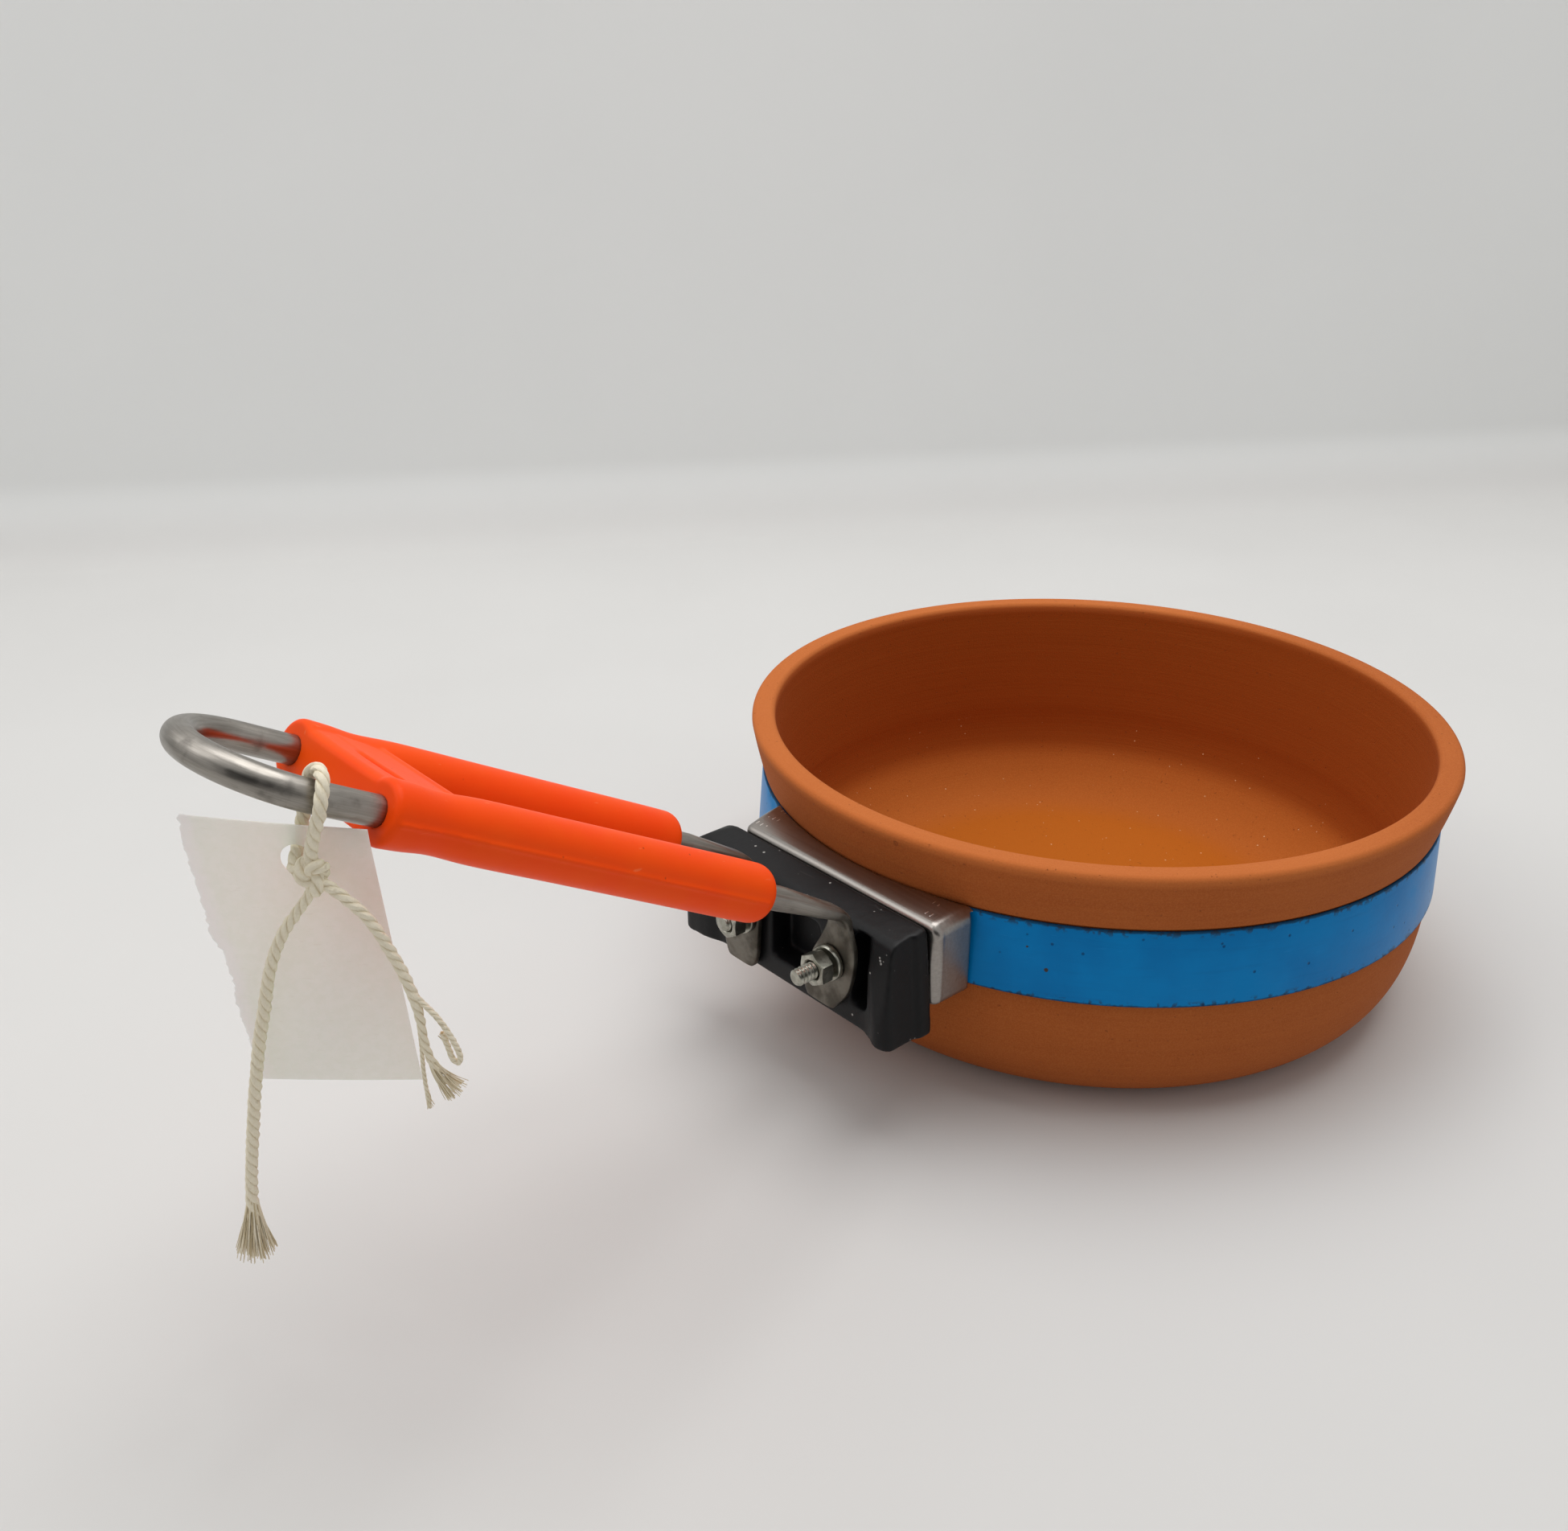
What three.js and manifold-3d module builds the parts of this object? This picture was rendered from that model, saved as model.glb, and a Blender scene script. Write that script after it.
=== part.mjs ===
// Clay tea pan: a terracotta bowl held by a painted clamp band, a steel saddle bracket and a heat-proof
// block, with a bent wire handle in a plastic grip and a paper tag hung on twine. Millimetres, +Z up.
// The origin is the centre of the bowl's foot, and the handle points along -X.
import * as THREE from 'three';
import { mergeVertices } from 'three/addons/utils/BufferGeometryUtils.js';
import Module from 'manifold-3d';

const wasm = await Module();
wasm.setup();

// Clearances between pieces that touch or pass through each other
const gap = 0.3;
const boltClearance = 0.3;

// Clay bowl
const rimRadius = 90.3;
const bowlHeight = 66.4;
const lipWidth = 6.1;
const lipRound = 1.4;
const collarHeight = 14.5;
const collarInset = 3;
const footRadius = 65;
const wallThickness = 6.2;
const floorThickness = 8;
const floorRadius = 55;
const outerCurvePower = 2.6;
const innerCurvePower = 2.4;

// Clamp band and its two bolting lugs
const bandHeight = 18.6;
const bandThickness = 0.8;
const bandFlare = 1.2;
const bandProud = 0.2;
const lugHeight = 14;
const lugLength = 12.5;
const lugInset = 4;

// Saddle bracket, a folded steel tray
const saddleNearReach = 30;
const saddleFarReach = 32;
const saddleHeight = 21.2;
const saddleRise = 0.8;
const saddleStandoff = 3.9;
const saddleSheet = 0.8;
const saddleBend = 2.6;
const saddleEdge = 1.5;
const saddleFlare = 2;

// Heat-proof block
const blockNearReach = 30.6;
const blockNearFlare = 2.6;
const blockFarReach = 40.2;
const blockTopDrop = 1.4;
const blockHang = 6;
const nearCheekDepth = 13.2;
const nearCheekWidth = 7;
const nearCheekDrop = 0.6;
const farCheekDepth = 13.2;
const farCheekWidth = 13;
const faceDepth = 11.2;
const nearCheekBend = 2;
const farCheekBend = 1.5;
const cheekRidge = 2.6;
const cheekSway = 3;
const farTopRound = 8;
const nearTopRound = 1.8;
const lowRound = 1.5;
const endStep = 0.9;
const endStepDepth = 3.2;
const blockBatter = 3;
const roofFall = 1.2;
const roofRound = 2.6;
const pocketFloor = 5;
const pocketSill = 5.5;
const pocketLintel = 4;
const nearPocketLintel = 0.8;
const pocketRound = 2;
const bossWidth = 13;
const bossNearTrim = 3;

// Bolts, washers and nuts
const boltDiameter = 4;
const boltSpacing = 29.6;
const boltRiseRight = 9.9;
const boltRiseLeft = 8.4;
const boltEndRight = 4.7;
const boltEndLeft = 0.9;
const headWidth = 7;
const headThickness = 2.8;
const nutWidth = 7;
const nutThickness = 3.4;
const washerDiameter = 8.4;
const washerThickness = 2;

// Wire handle
const rodDiameter = 5.4;
const legSpacing = 31;
const handleTilt = THREE.MathUtils.degToRad(30);
const handleRise = 1.1;
const legLength = 127.9;
const tabWidth = 13;
const tabThickness = 2.2;
const tabBendRadius = 5;
const flattenLength = 17;
const nearTabLength = 24.9;
const farTabLength = 27.5;
// From a tab's cut end to its bend: a share of its height, and shares of its half width for its width and lean
const nearTabShape = [
  [0, 0.68, 0.71], [0.07, 0.83, 0.68], [0.19, 0.94, 0.49], [0.32, 1, 0.32],
  [0.54, 1, 0.15], [0.75, 0.83, -0.06], [0.93, 0.6, -0.12], [1, 0.52, -0.12],
];
const farTabShape = [
  [0, 0.66, -0.26], [0.05, 0.78, -0.25], [0.17, 0.9, -0.25], [0.35, 0.94, -0.25],
  [0.58, 0.95, -0.18], [0.78, 0.83, -0.09], [0.93, 0.6, 0], [1, 0.52, 0],
];

// Grip, one moulding with a sleeve on each leg
const gripStart = 25.5;
const gripLength = 92.1;
const gripWall = 2.85;
const gripSwell = 0.35;
const gripWaist = 0.5;
const gripRound = 3.2;
const gripEndRound = 1.6;
const endWallThickness = 4.4;
const endWallHeight = 9.8;
const endWallRound = 1.2;
const ribThickness = 11;
const ribHeight = 9.3;
const grooveWidth = 0.7;
const grooveDepth = 1.8;

// Tag and twine, hung on the near leg just before the loop
const twineDiameter = 2;
const tagThickness = 0.3;
const tagHoleRadius = 2.6;
const tagPlace = 127.4;
const tagTurn = THREE.MathUtils.degToRad(-41.3);
const knotRadii = new THREE.Vector3(2.6, 2.6, 3.2);

// Facets
const roundSteps = 72;
const smallSteps = 24;
const ringSides = 16;

// Places worked out from the sizes above; outward distances are measured from the bowl's axis along -X
const collarBottom = bowlHeight - collarHeight;
const bandTop = collarBottom - gap;
const bandBottom = bandTop - bandHeight;
const bandMiddle = (bandTop + bandBottom) / 2;
const bandRadius = rimRadius - collarInset + bandProud + bandFlare / 2;
const seatRadius = bandRadius - bandThickness - gap;
const saddleFront = rimRadius + saddleStandoff;
const saddleTop = collarBottom + saddleRise;
const saddleBottom = saddleTop - saddleHeight;
const boltSide = boltSpacing / 2;
const bolts = [
  { name: 'right', y: -boltSide, z: saddleBottom + boltRiseRight, reach: boltEndRight },
  { name: 'left', y: boltSide, z: saddleBottom + boltRiseLeft, reach: boltEndLeft },
];
const lugBack = saddleFront - saddleSheet - gap - bandThickness;
const headBack = lugBack - gap - headThickness;
const blockBack = saddleFront + gap;
const blockTop = saddleTop - blockTopDrop;
const blockBottom = saddleBottom - blockHang;
const bossFront = blockBack + faceDepth;
const tabFront = bossFront + gap + tabThickness;
const tabMiddle = tabFront - tabThickness / 2;
const washerFront = tabFront + gap + washerThickness;
const nutFront = washerFront + gap + nutThickness;
const boltHoleRadius = boltDiameter / 2 + boltClearance;
const rodRadius = rodDiameter / 2;
const legSide = legSpacing / 2;
const cornerHeight = saddleTop + handleRise;
const legDirection = new THREE.Vector3(-Math.cos(handleTilt), 0, Math.sin(handleTilt));
const legNormal = new THREE.Vector3(Math.sin(handleTilt), 0, Math.cos(handleTilt));

const materials = {
  clay: finish(0xa9602f, 0.9, 0),
  bandPaint: finish(0x0b66a6, 0.35, 0.1),
  stainless: finish(0xb9b6b1, 0.35, 1),
  phenolic: finish(0x1d1d1f, 0.4, 0),
  wire: finish(0x8b8986, 0.45, 1),
  zinc: finish(0xc4c6c8, 0.35, 1),
  grip: finish(0xee4a14, 0.45, 0),
  paper: finish(0xe6e2d6, 0.9, 0),
  twine: finish(0xddd5c0, 0.95, 0),
};

const pan = new THREE.Group();
pan.name = 'clay_tea_pan';

function finish(color, roughness, metalness) {
  return new THREE.MeshStandardMaterial({ color, roughness, metalness });
}

// Turns a closed geometry into a solid, with shared corners merged and faces pointing out.
function solid(geometry) {
  const bare = geometry.index ? geometry.toNonIndexed() : geometry.clone();
  bare.deleteAttribute('normal');
  bare.deleteAttribute('uv');
  const merged = mergeVertices(bare, 1e-4);
  const corners = merged.attributes.position;
  const triangles = [];
  let volume = 0;
  const [a, b, c] = [new THREE.Vector3(), new THREE.Vector3(), new THREE.Vector3()];
  for (let i = 0; i < merged.index.count; i += 3) {
    const [p, q, r] = [0, 1, 2].map((k) => merged.index.getX(i + k));
    if (p === q || q === r || r === p) continue;
    triangles.push([p, q, r]);
    a.fromBufferAttribute(corners, p);
    b.fromBufferAttribute(corners, q);
    c.fromBufferAttribute(corners, r);
    volume += a.dot(b.cross(c));
  }
  const facing = volume < 0 ? triangles.map(([p, q, r]) => [p, r, q]) : triangles;
  return new wasm.Manifold(new wasm.Mesh({
    numProp: 3,
    vertProperties: new Float32Array(corners.array),
    triVerts: new Uint32Array(facing.flat()),
  }));
}

function geometryOf(body) {
  const mesh = body.getMesh();
  const geometry = new THREE.BufferGeometry();
  geometry.setAttribute('position', new THREE.BufferAttribute(Float32Array.from(mesh.vertProperties), 3));
  geometry.setIndex(Array.from(mesh.triVerts));
  geometry.computeVertexNormals();
  return geometry;
}

function addPiece(name, body, material, parent = pan) {
  const mesh = new THREE.Mesh(geometryOf(body), material);
  mesh.name = name;
  parent.add(mesh);
  return mesh;
}

// A box between two corners.
function box(low, high) {
  const size = high.map((value, axis) => value - low[axis]);
  const geometry = new THREE.BoxGeometry(...size);
  geometry.translate(...low.map((value, axis) => value + size[axis] / 2));
  return solid(geometry);
}

// A round bar along X, given by its distances out from the bowl's axis.
function barAlongX(radius, from, to, y, z) {
  const geometry = new THREE.CylinderGeometry(radius, radius, to - from, smallSteps);
  geometry.rotateZ(Math.PI / 2);
  geometry.translate(-(from + to) / 2, y, z);
  return solid(geometry);
}

// A flat outline drawn as (distance out, Y) and raised along Z.
function raised(shape, low, high) {
  const geometry = new THREE.ExtrudeGeometry(shape,
    { depth: high - low, bevelEnabled: false, curveSegments: 8 });
  geometry.translate(0, 0, low);
  return geometry;
}

function lathe(profile, steps) {
  const geometry = new THREE.LatheGeometry(profile.map(([r, z]) => new THREE.Vector2(r, z)), steps);
  geometry.rotateX(Math.PI / 2);
  return geometry;
}

function arc(centreR, centreZ, radius, from, to, steps) {
  return Array.from({ length: steps + 1 }, (_, i) => {
    const angle = THREE.MathUtils.degToRad(from + ((to - from) * i) / steps);
    return [centreR + radius * Math.cos(angle), centreZ + radius * Math.sin(angle)];
  });
}

// A wall that rises from a flat floor to upright, fuller than an ellipse where the power is above 2.
function bowlCurve(floorR, floorZ, wallR, wallZ, power, steps) {
  return Array.from({ length: steps + 1 }, (_, i) => {
    const angle = (Math.PI / 2) * (i / steps);
    const out = Math.sin(angle) ** (2 / power);
    const up = 1 - Math.cos(angle) ** (2 / power);
    return [floorR + (wallR - floorR) * out, floorZ + (wallZ - floorZ) * up];
  });
}

// A skin over a row of rings with the same count of points, closed at both ends.
function loft(rings) {
  const count = rings[0].length;
  const centre = (ring) => ring.reduce((sum, p) => sum.add(p), new THREE.Vector3()).divideScalar(count);
  const corners = [...rings.flat(), centre(rings[0]), centre(rings.at(-1))];
  const first = rings.length * count;
  const triangles = [];
  for (let side = 0; side < count; side += 1) {
    const next = (side + 1) % count;
    for (let ring = 0; ring < rings.length - 1; ring += 1) {
      const here = ring * count;
      const there = here + count;
      triangles.push(here + side, here + next, there + next, here + side, there + next, there + side);
    }
    const last = first - count;
    triangles.push(first, next, side, first + 1, last + side, last + next);
  }
  const geometry = new THREE.BufferGeometry().setFromPoints(corners);
  geometry.setIndex(triangles);
  return geometry;
}

// The collar's outside leans out from its lower edge to the lip.
function collarRadiusAt(height) {
  const lean = collarInset / (collarHeight - lipRound);
  return rimRadius - collarInset + lean * (height - collarBottom);
}

function buildBowl() {
  const lipTop = bowlHeight - lipRound;
  const innerWall = seatRadius + bandFlare / 2 - wallThickness;
  const outside = bowlCurve(footRadius, 0, seatRadius + bandFlare / 2, bandBottom, outerCurvePower, 10);
  const inside = bowlCurve(floorRadius, floorThickness, innerWall, bandBottom, innerCurvePower, 9);
  const profile = [
    [0, 0],
    ...outside,
    [seatRadius - bandFlare / 2, collarBottom],
    [rimRadius - collarInset, collarBottom],
    ...arc(rimRadius - lipRound, lipTop, lipRound, 0, 90, 4),
    ...arc(rimRadius - lipWidth + lipRound, lipTop, lipRound, 90, 180, 4),
    ...inside.reverse(),
    [0, floorThickness],
  ];
  addPiece('clay_bowl', solid(lathe(profile, roundSteps)), materials.clay);
}

// Offsets a line of plan points to both sides, to make a thin strip.
function stripShape(points, thickness) {
  const sideways = points.map((point, i) => {
    const before = points[Math.max(i - 1, 0)];
    const after = points[Math.min(i + 1, points.length - 1)];
    const [one, two] = [point.clone().sub(before), after.clone().sub(point)];
    const along = one.clone().normalize().add(two.clone().normalize()).normalize();
    const reference = two.length() > 0 ? two.normalize() : one.normalize();
    return new THREE.Vector2(-along.y, along.x).multiplyScalar(thickness / 2 / along.dot(reference));
  });
  const left = points.map((point, i) => point.clone().add(sideways[i]));
  const right = points.map((point, i) => point.clone().sub(sideways[i]));
  return new THREE.Shape([...left, ...right.reverse()]);
}

// An open ring around the bowl whose ends turn out behind the saddle's front and carry the bolts.
function buildBand() {
  const middle = bandRadius - bandThickness / 2;
  const bandEnd = Math.min(saddleNearReach, saddleFarReach) - saddleSheet - lugInset;
  const endAngle = Math.PI - Math.asin(bandEnd / middle);
  const lugX = -(lugBack + bandThickness / 2);
  const lugFrom = boltSide + lugLength / 2;
  const lugTo = boltSide - lugLength / 2;
  const points = [new THREE.Vector2(lugX, lugTo), new THREE.Vector2(lugX, lugFrom)];
  for (let i = 0; i <= roundSteps; i += 1) {
    const angle = endAngle - (2 * endAngle * i) / roundSteps;
    points.push(new THREE.Vector2(middle * Math.cos(angle), middle * Math.sin(angle)));
  }
  points.push(new THREE.Vector2(lugX, -lugFrom), new THREE.Vector2(lugX, -lugTo));
  const geometry = raised(stripShape(points, bandThickness), bandBottom, bandTop);
  const corners = geometry.attributes.position;
  for (let i = 0; i < corners.count; i += 1) {
    const radius = Math.hypot(corners.getX(i), corners.getY(i));
    if (radius > bandRadius + bandThickness) continue;
    const flare = (bandFlare * (bandMiddle - corners.getZ(i))) / bandHeight;
    corners.setX(i, corners.getX(i) * (1 + flare / radius));
    corners.setY(i, corners.getY(i) * (1 + flare / radius));
  }
  let band = solid(geometry);
  const lugMiddle = (bolts[0].z + bolts[1].z) / 2;
  const trim = [[bandBottom - 1, lugMiddle - lugHeight / 2], [lugMiddle + lugHeight / 2, bandTop + 1]];
  for (const [low, high] of trim) {
    band = band.subtract(box([-saddleFront, -bandEnd - 1, low], [-footRadius, bandEnd + 1, high]));
  }
  for (const { y, z } of bolts) {
    band = band.subtract(barAlongX(boltHoleRadius, headBack, saddleFront, y, z));
  }
  addPiece('clamp_band', band, materials.bandPaint);
}

// Plan of a tray as (-distance out, Y): a straight front with round corners, and sides that spread
// towards the band.
function trayShape(front, back, nearReach, farReach, radius) {
  const sideLength = saddleFront - Math.sqrt(bandRadius ** 2 - saddleNearReach ** 2);
  const spread = (saddleFlare * (front - back)) / sideLength;
  const shape = new THREE.Shape();
  shape.moveTo(-back, -nearReach - spread);
  shape.lineTo(-back, farReach + spread);
  shape.lineTo(-front + radius, farReach);
  shape.quadraticCurveTo(-front, farReach, -front, farReach - radius);
  shape.lineTo(-front, -nearReach + radius);
  shape.quadraticCurveTo(-front, -nearReach, -front + radius, -nearReach);
  shape.closePath();
  return shape;
}

function uprightDisc(radius, low, high) {
  const geometry = new THREE.CylinderGeometry(radius, radius, high - low, roundSteps);
  geometry.rotateX(Math.PI / 2);
  geometry.translate(0, 0, (low + high) / 2);
  return solid(geometry);
}

// A tray of folded sheet, open towards the bowl, with its top edge under the collar and its sides
// against the band.
function buildSaddle() {
  const outline = trayShape(saddleFront, footRadius, saddleNearReach, saddleFarReach, saddleBend);
  const outerGeometry = new THREE.ExtrudeGeometry(outline, {
    depth: saddleHeight - 2 * saddleEdge,
    bevelEnabled: true,
    bevelThickness: saddleEdge,
    bevelSize: saddleEdge,
    bevelOffset: -saddleEdge,
    bevelSegments: 4,
    curveSegments: 6,
  });
  outerGeometry.translate(0, 0, saddleBottom + saddleEdge);
  const hollow = trayShape(saddleFront - saddleSheet, footRadius - lipWidth,
    saddleNearReach - saddleSheet, saddleFarReach - saddleSheet, saddleBend - saddleSheet / 2);
  const bandCut = bandRadius + bandFlare / 2 + gap;
  const flangeBottom = saddleTop - saddleSheet;
  let saddle = solid(outerGeometry)
    .subtract(solid(raised(hollow, saddleBottom + saddleSheet, flangeBottom)))
    .subtract(uprightDisc(bandCut, saddleBottom - 1, flangeBottom))
    .subtract(uprightDisc(collarRadiusAt(saddleTop) + gap, flangeBottom - 1, saddleTop + 1));
  for (const { y, z } of bolts) {
    saddle = saddle.subtract(barAlongX(boltHoleRadius, headBack, blockBack, y, z));
  }
  addPiece('saddle_bracket', saddle, materials.stainless);
}

// Plan of the block as (-distance out, Y): a face between two forward cheeks with rounded ridges.
function blockPlan() {
  const nearEnd = -blockNearReach;
  const farEnd = blockFarReach;
  const nearInner = nearEnd + nearCheekWidth;
  const farInner = farEnd - farCheekWidth;
  const plan = new THREE.Shape();
  plan.moveTo(0, nearEnd);
  plan.lineTo(-endStepDepth, nearEnd);
  plan.lineTo(-endStepDepth - endStep, nearEnd + endStep);
  plan.lineTo(-nearCheekDepth + cheekRidge, nearEnd + endStep);
  plan.quadraticCurveTo(-nearCheekDepth, nearEnd + endStep, -nearCheekDepth, nearEnd + endStep + cheekRidge);
  plan.bezierCurveTo(-nearCheekDepth, nearInner - nearCheekBend, -faceDepth, nearInner - nearCheekBend,
    -faceDepth, nearInner + nearCheekBend);
  plan.lineTo(-faceDepth, farInner - farCheekBend);
  plan.bezierCurveTo(-faceDepth, farInner + farCheekBend, -farCheekDepth, farInner + farCheekBend,
    -farCheekDepth, farEnd - endStep - cheekRidge);
  plan.quadraticCurveTo(-farCheekDepth, farEnd - endStep, -farCheekDepth + cheekRidge, farEnd - endStep);
  plan.lineTo(-endStepDepth - endStep, farEnd - endStep);
  plan.lineTo(-endStepDepth, farEnd);
  plan.lineTo(0, farEnd);
  plan.closePath();
  return plan;
}

// Front view of the block as (Y, Z): rounded top corners, and a near cheek that hangs below the rest.
function blockFront() {
  const nearInner = -blockNearReach + nearCheekWidth;
  const height = blockTop - blockBottom;
  const front = new THREE.Shape();
  front.moveTo(-blockNearReach, height - nearTopRound);
  front.lineTo(-blockNearReach, -nearCheekDrop + lowRound);
  front.quadraticCurveTo(-blockNearReach, -nearCheekDrop, -blockNearReach + lowRound, -nearCheekDrop);
  front.lineTo(nearInner - cheekSway, -nearCheekDrop);
  front.bezierCurveTo(nearInner, -nearCheekDrop, nearInner, 0, nearInner + cheekSway, 0);
  front.lineTo(blockFarReach - lowRound, 0);
  front.quadraticCurveTo(blockFarReach, 0, blockFarReach, lowRound);
  front.lineTo(blockFarReach, height - farTopRound);
  front.quadraticCurveTo(blockFarReach, height, blockFarReach - farTopRound, height);
  front.lineTo(-blockNearReach + nearTopRound, height);
  front.quadraticCurveTo(-blockNearReach, height, -blockNearReach, height - nearTopRound);
  return front;
}

// Side view of the block as (distance out, Z): a roof that falls a little, and a front that leans out
// downwards.
function blockSide() {
  const height = blockTop - blockBottom;
  const roofEdge = nearCheekDepth - blockBatter;
  const side = new THREE.Shape();
  side.moveTo(0, -nearCheekDrop);
  side.lineTo(nearCheekDepth, -nearCheekDrop);
  side.lineTo(nearCheekDepth, pocketSill);
  side.lineTo(roofEdge + roofRound * 0.2, height - roofFall - roofRound);
  side.quadraticCurveTo(roofEdge, height - roofFall, roofEdge - roofRound, height - roofFall * 0.75);
  side.lineTo(0, height);
  side.closePath();
  return side;
}

function roundedPocket(y0, y1, z0, z1, radius) {
  const pocket = new THREE.Shape();
  pocket.moveTo(y0 + radius, z0);
  pocket.lineTo(y1 - radius, z0);
  pocket.absarc(y1 - radius, z0 + radius, radius, -Math.PI / 2, 0, false);
  pocket.lineTo(y1, z1 - radius);
  pocket.absarc(y1 - radius, z1 - radius, radius, 0, Math.PI / 2, false);
  pocket.lineTo(y0 + radius, z1);
  pocket.absarc(y0 + radius, z1 - radius, radius, Math.PI / 2, Math.PI, false);
  pocket.lineTo(y0, z0 + radius);
  pocket.absarc(y0 + radius, z0 + radius, radius, Math.PI, 1.5 * Math.PI, false);
  return pocket;
}

// Raises an outline drawn as (Y, Z) outwards along -X.
function raisedOutwards(shape, from, to) {
  const geometry = new THREE.ExtrudeGeometry(shape,
    { depth: to - from, bevelEnabled: false, curveSegments: 6 });
  geometry.applyMatrix4(new THREE.Matrix4().makeBasis(
    new THREE.Vector3(0, 1, 0), new THREE.Vector3(0, 0, 1), new THREE.Vector3(-1, 0, 0)));
  geometry.translate(-from, 0, 0);
  return solid(geometry);
}

function buildBlock() {
  const height = blockTop - blockBottom + nearCheekDrop;
  const planBody = new THREE.ExtrudeGeometry(blockPlan(),
    { depth: height, bevelEnabled: false, curveSegments: 6 });
  planBody.translate(-blockBack, 0, blockBottom - nearCheekDrop);
  const sideBody = new THREE.ExtrudeGeometry(blockSide(),
    { depth: blockNearReach + blockFarReach, bevelEnabled: false, curveSegments: 6 });
  sideBody.applyMatrix4(new THREE.Matrix4().makeBasis(
    new THREE.Vector3(-1, 0, 0), new THREE.Vector3(0, 0, 1), new THREE.Vector3(0, 1, 0)));
  sideBody.translate(-blockBack, -blockNearReach, blockBottom);
  const frontBody = raisedOutwards(blockFront(), blockBack, blockBack + nearCheekDepth);
  let block = solid(planBody).intersect(solid(sideBody)).intersect(frontBody.translate([0, 0, blockBottom]));
  const sill = blockBottom + pocketSill;
  const roofUnderside = blockTop - roofFall;
  const pockets = [
    [-blockNearReach + nearCheekWidth, -boltSide - bossWidth / 2 + bossNearTrim, nearPocketLintel],
    [-boltSide + bossWidth / 2, boltSide - bossWidth / 2, pocketLintel],
    [boltSide + bossWidth / 2, blockFarReach - farCheekWidth, pocketLintel],
  ];
  for (const [y0, y1, lintel] of pockets) {
    const corner = Math.min(pocketRound, (y1 - y0) * 0.45);
    const pocket = roundedPocket(y0, y1, sill, roofUnderside - lintel, corner);
    block = block.subtract(raisedOutwards(pocket, blockBack + pocketFloor, tabFront));
  }
  for (const { y, z } of bolts) {
    block = block.subtract(barAlongX(boltHoleRadius, saddleFront, tabFront, y, z));
  }
  // The near end leans out towards its foot.
  block = block.warp((corner) => {
    const inwards = (-corner[1] - blockNearReach + nearCheekWidth) / nearCheekWidth;
    const down = (blockTop - corner[2]) / (blockTop - blockBottom);
    corner[1] -= blockNearFlare * THREE.MathUtils.clamp(inwards, 0, 1) * down;
  });
  addPiece('heat_block', block, materials.phenolic);
}

// A ring of points around a centre: round where both half sizes match, and squarer where it is flat.
function wireRing(centre, sideways, normal, halfWidth, halfThickness) {
  const flatness = 1 - halfThickness / halfWidth;
  const power = 1 - 0.6 * Math.min(Math.max(flatness, 0), 1);
  return Array.from({ length: ringSides }, (_, i) => {
    const angle = (2 * Math.PI * (i + 0.5)) / ringSides;
    const across = Math.sign(Math.cos(angle)) * Math.abs(Math.cos(angle)) ** power * halfWidth;
    const through = Math.sign(Math.sin(angle)) * Math.abs(Math.sin(angle)) ** power * halfThickness;
    return centre.clone().addScaledVector(sideways, across).addScaledVector(normal, through);
  });
}

// Half the handle on one side: a flat tab, a bend and a leg that grows round.
function legRings(side, tabLength, tabShape) {
  const rings = [];
  const outwards = new THREE.Vector3(0, side, 0);
  const half = tabWidth / 2;
  const lean = (share) => outwards.clone().multiplyScalar(-share * half);
  const turn = Math.PI / 2 - handleTilt;
  const tangent = tabBendRadius * Math.tan(turn / 2);
  const tabTopHeight = cornerHeight - tangent;
  const tip = cornerHeight - tabLength;
  const outward = new THREE.Vector3(-1, 0, 0);
  for (const [share, width, inwards] of tabShape) {
    const height = tip + (tabTopHeight - tip) * share;
    const centre = new THREE.Vector3(-tabMiddle, side * legSide, height).add(lean(inwards));
    rings.push(wireRing(centre, outwards, outward, half * width, Math.min(tabThickness / 2, half * width)));
  }
  const [, topWidth, topLean] = tabShape.at(-1);
  const bendCentre = new THREE.Vector3(-tabMiddle - tabBendRadius, side * legSide, tabTopHeight);
  const startWidth = (along) => THREE.MathUtils.lerp(half * topWidth, rodRadius, along);
  const startThickness = (along) => THREE.MathUtils.lerp(tabThickness / 2, rodRadius, along);
  const bendSteps = 6;
  const bendLength = tabBendRadius * turn;
  const whole = bendLength + flattenLength;
  for (let i = 1; i <= bendSteps; i += 1) {
    const angle = (turn * i) / bendSteps;
    const radial = new THREE.Vector3(Math.cos(angle), 0, Math.sin(angle));
    const along = (bendLength * i) / bendSteps / whole;
    const centre = bendCentre.clone().addScaledVector(radial, tabBendRadius).add(lean(topLean));
    rings.push(wireRing(centre, outwards, radial.clone().negate(), startWidth(along), startThickness(along)));
  }
  const corner = new THREE.Vector3(-tabMiddle, side * legSide, cornerHeight);
  for (const share of [0.25, 0.5, 0.75, 1]) {
    const centre = corner.clone().addScaledVector(legDirection, tangent + flattenLength * share);
    centre.add(lean(topLean * (1 - THREE.MathUtils.smoothstep(share, 0, 1))));
    const along = (bendLength + flattenLength * share) / whole;
    const inward = legNormal.clone().negate();
    rings.push(wireRing(centre, outwards, inward, startWidth(along), startThickness(along)));
  }
  return rings;
}

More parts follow.
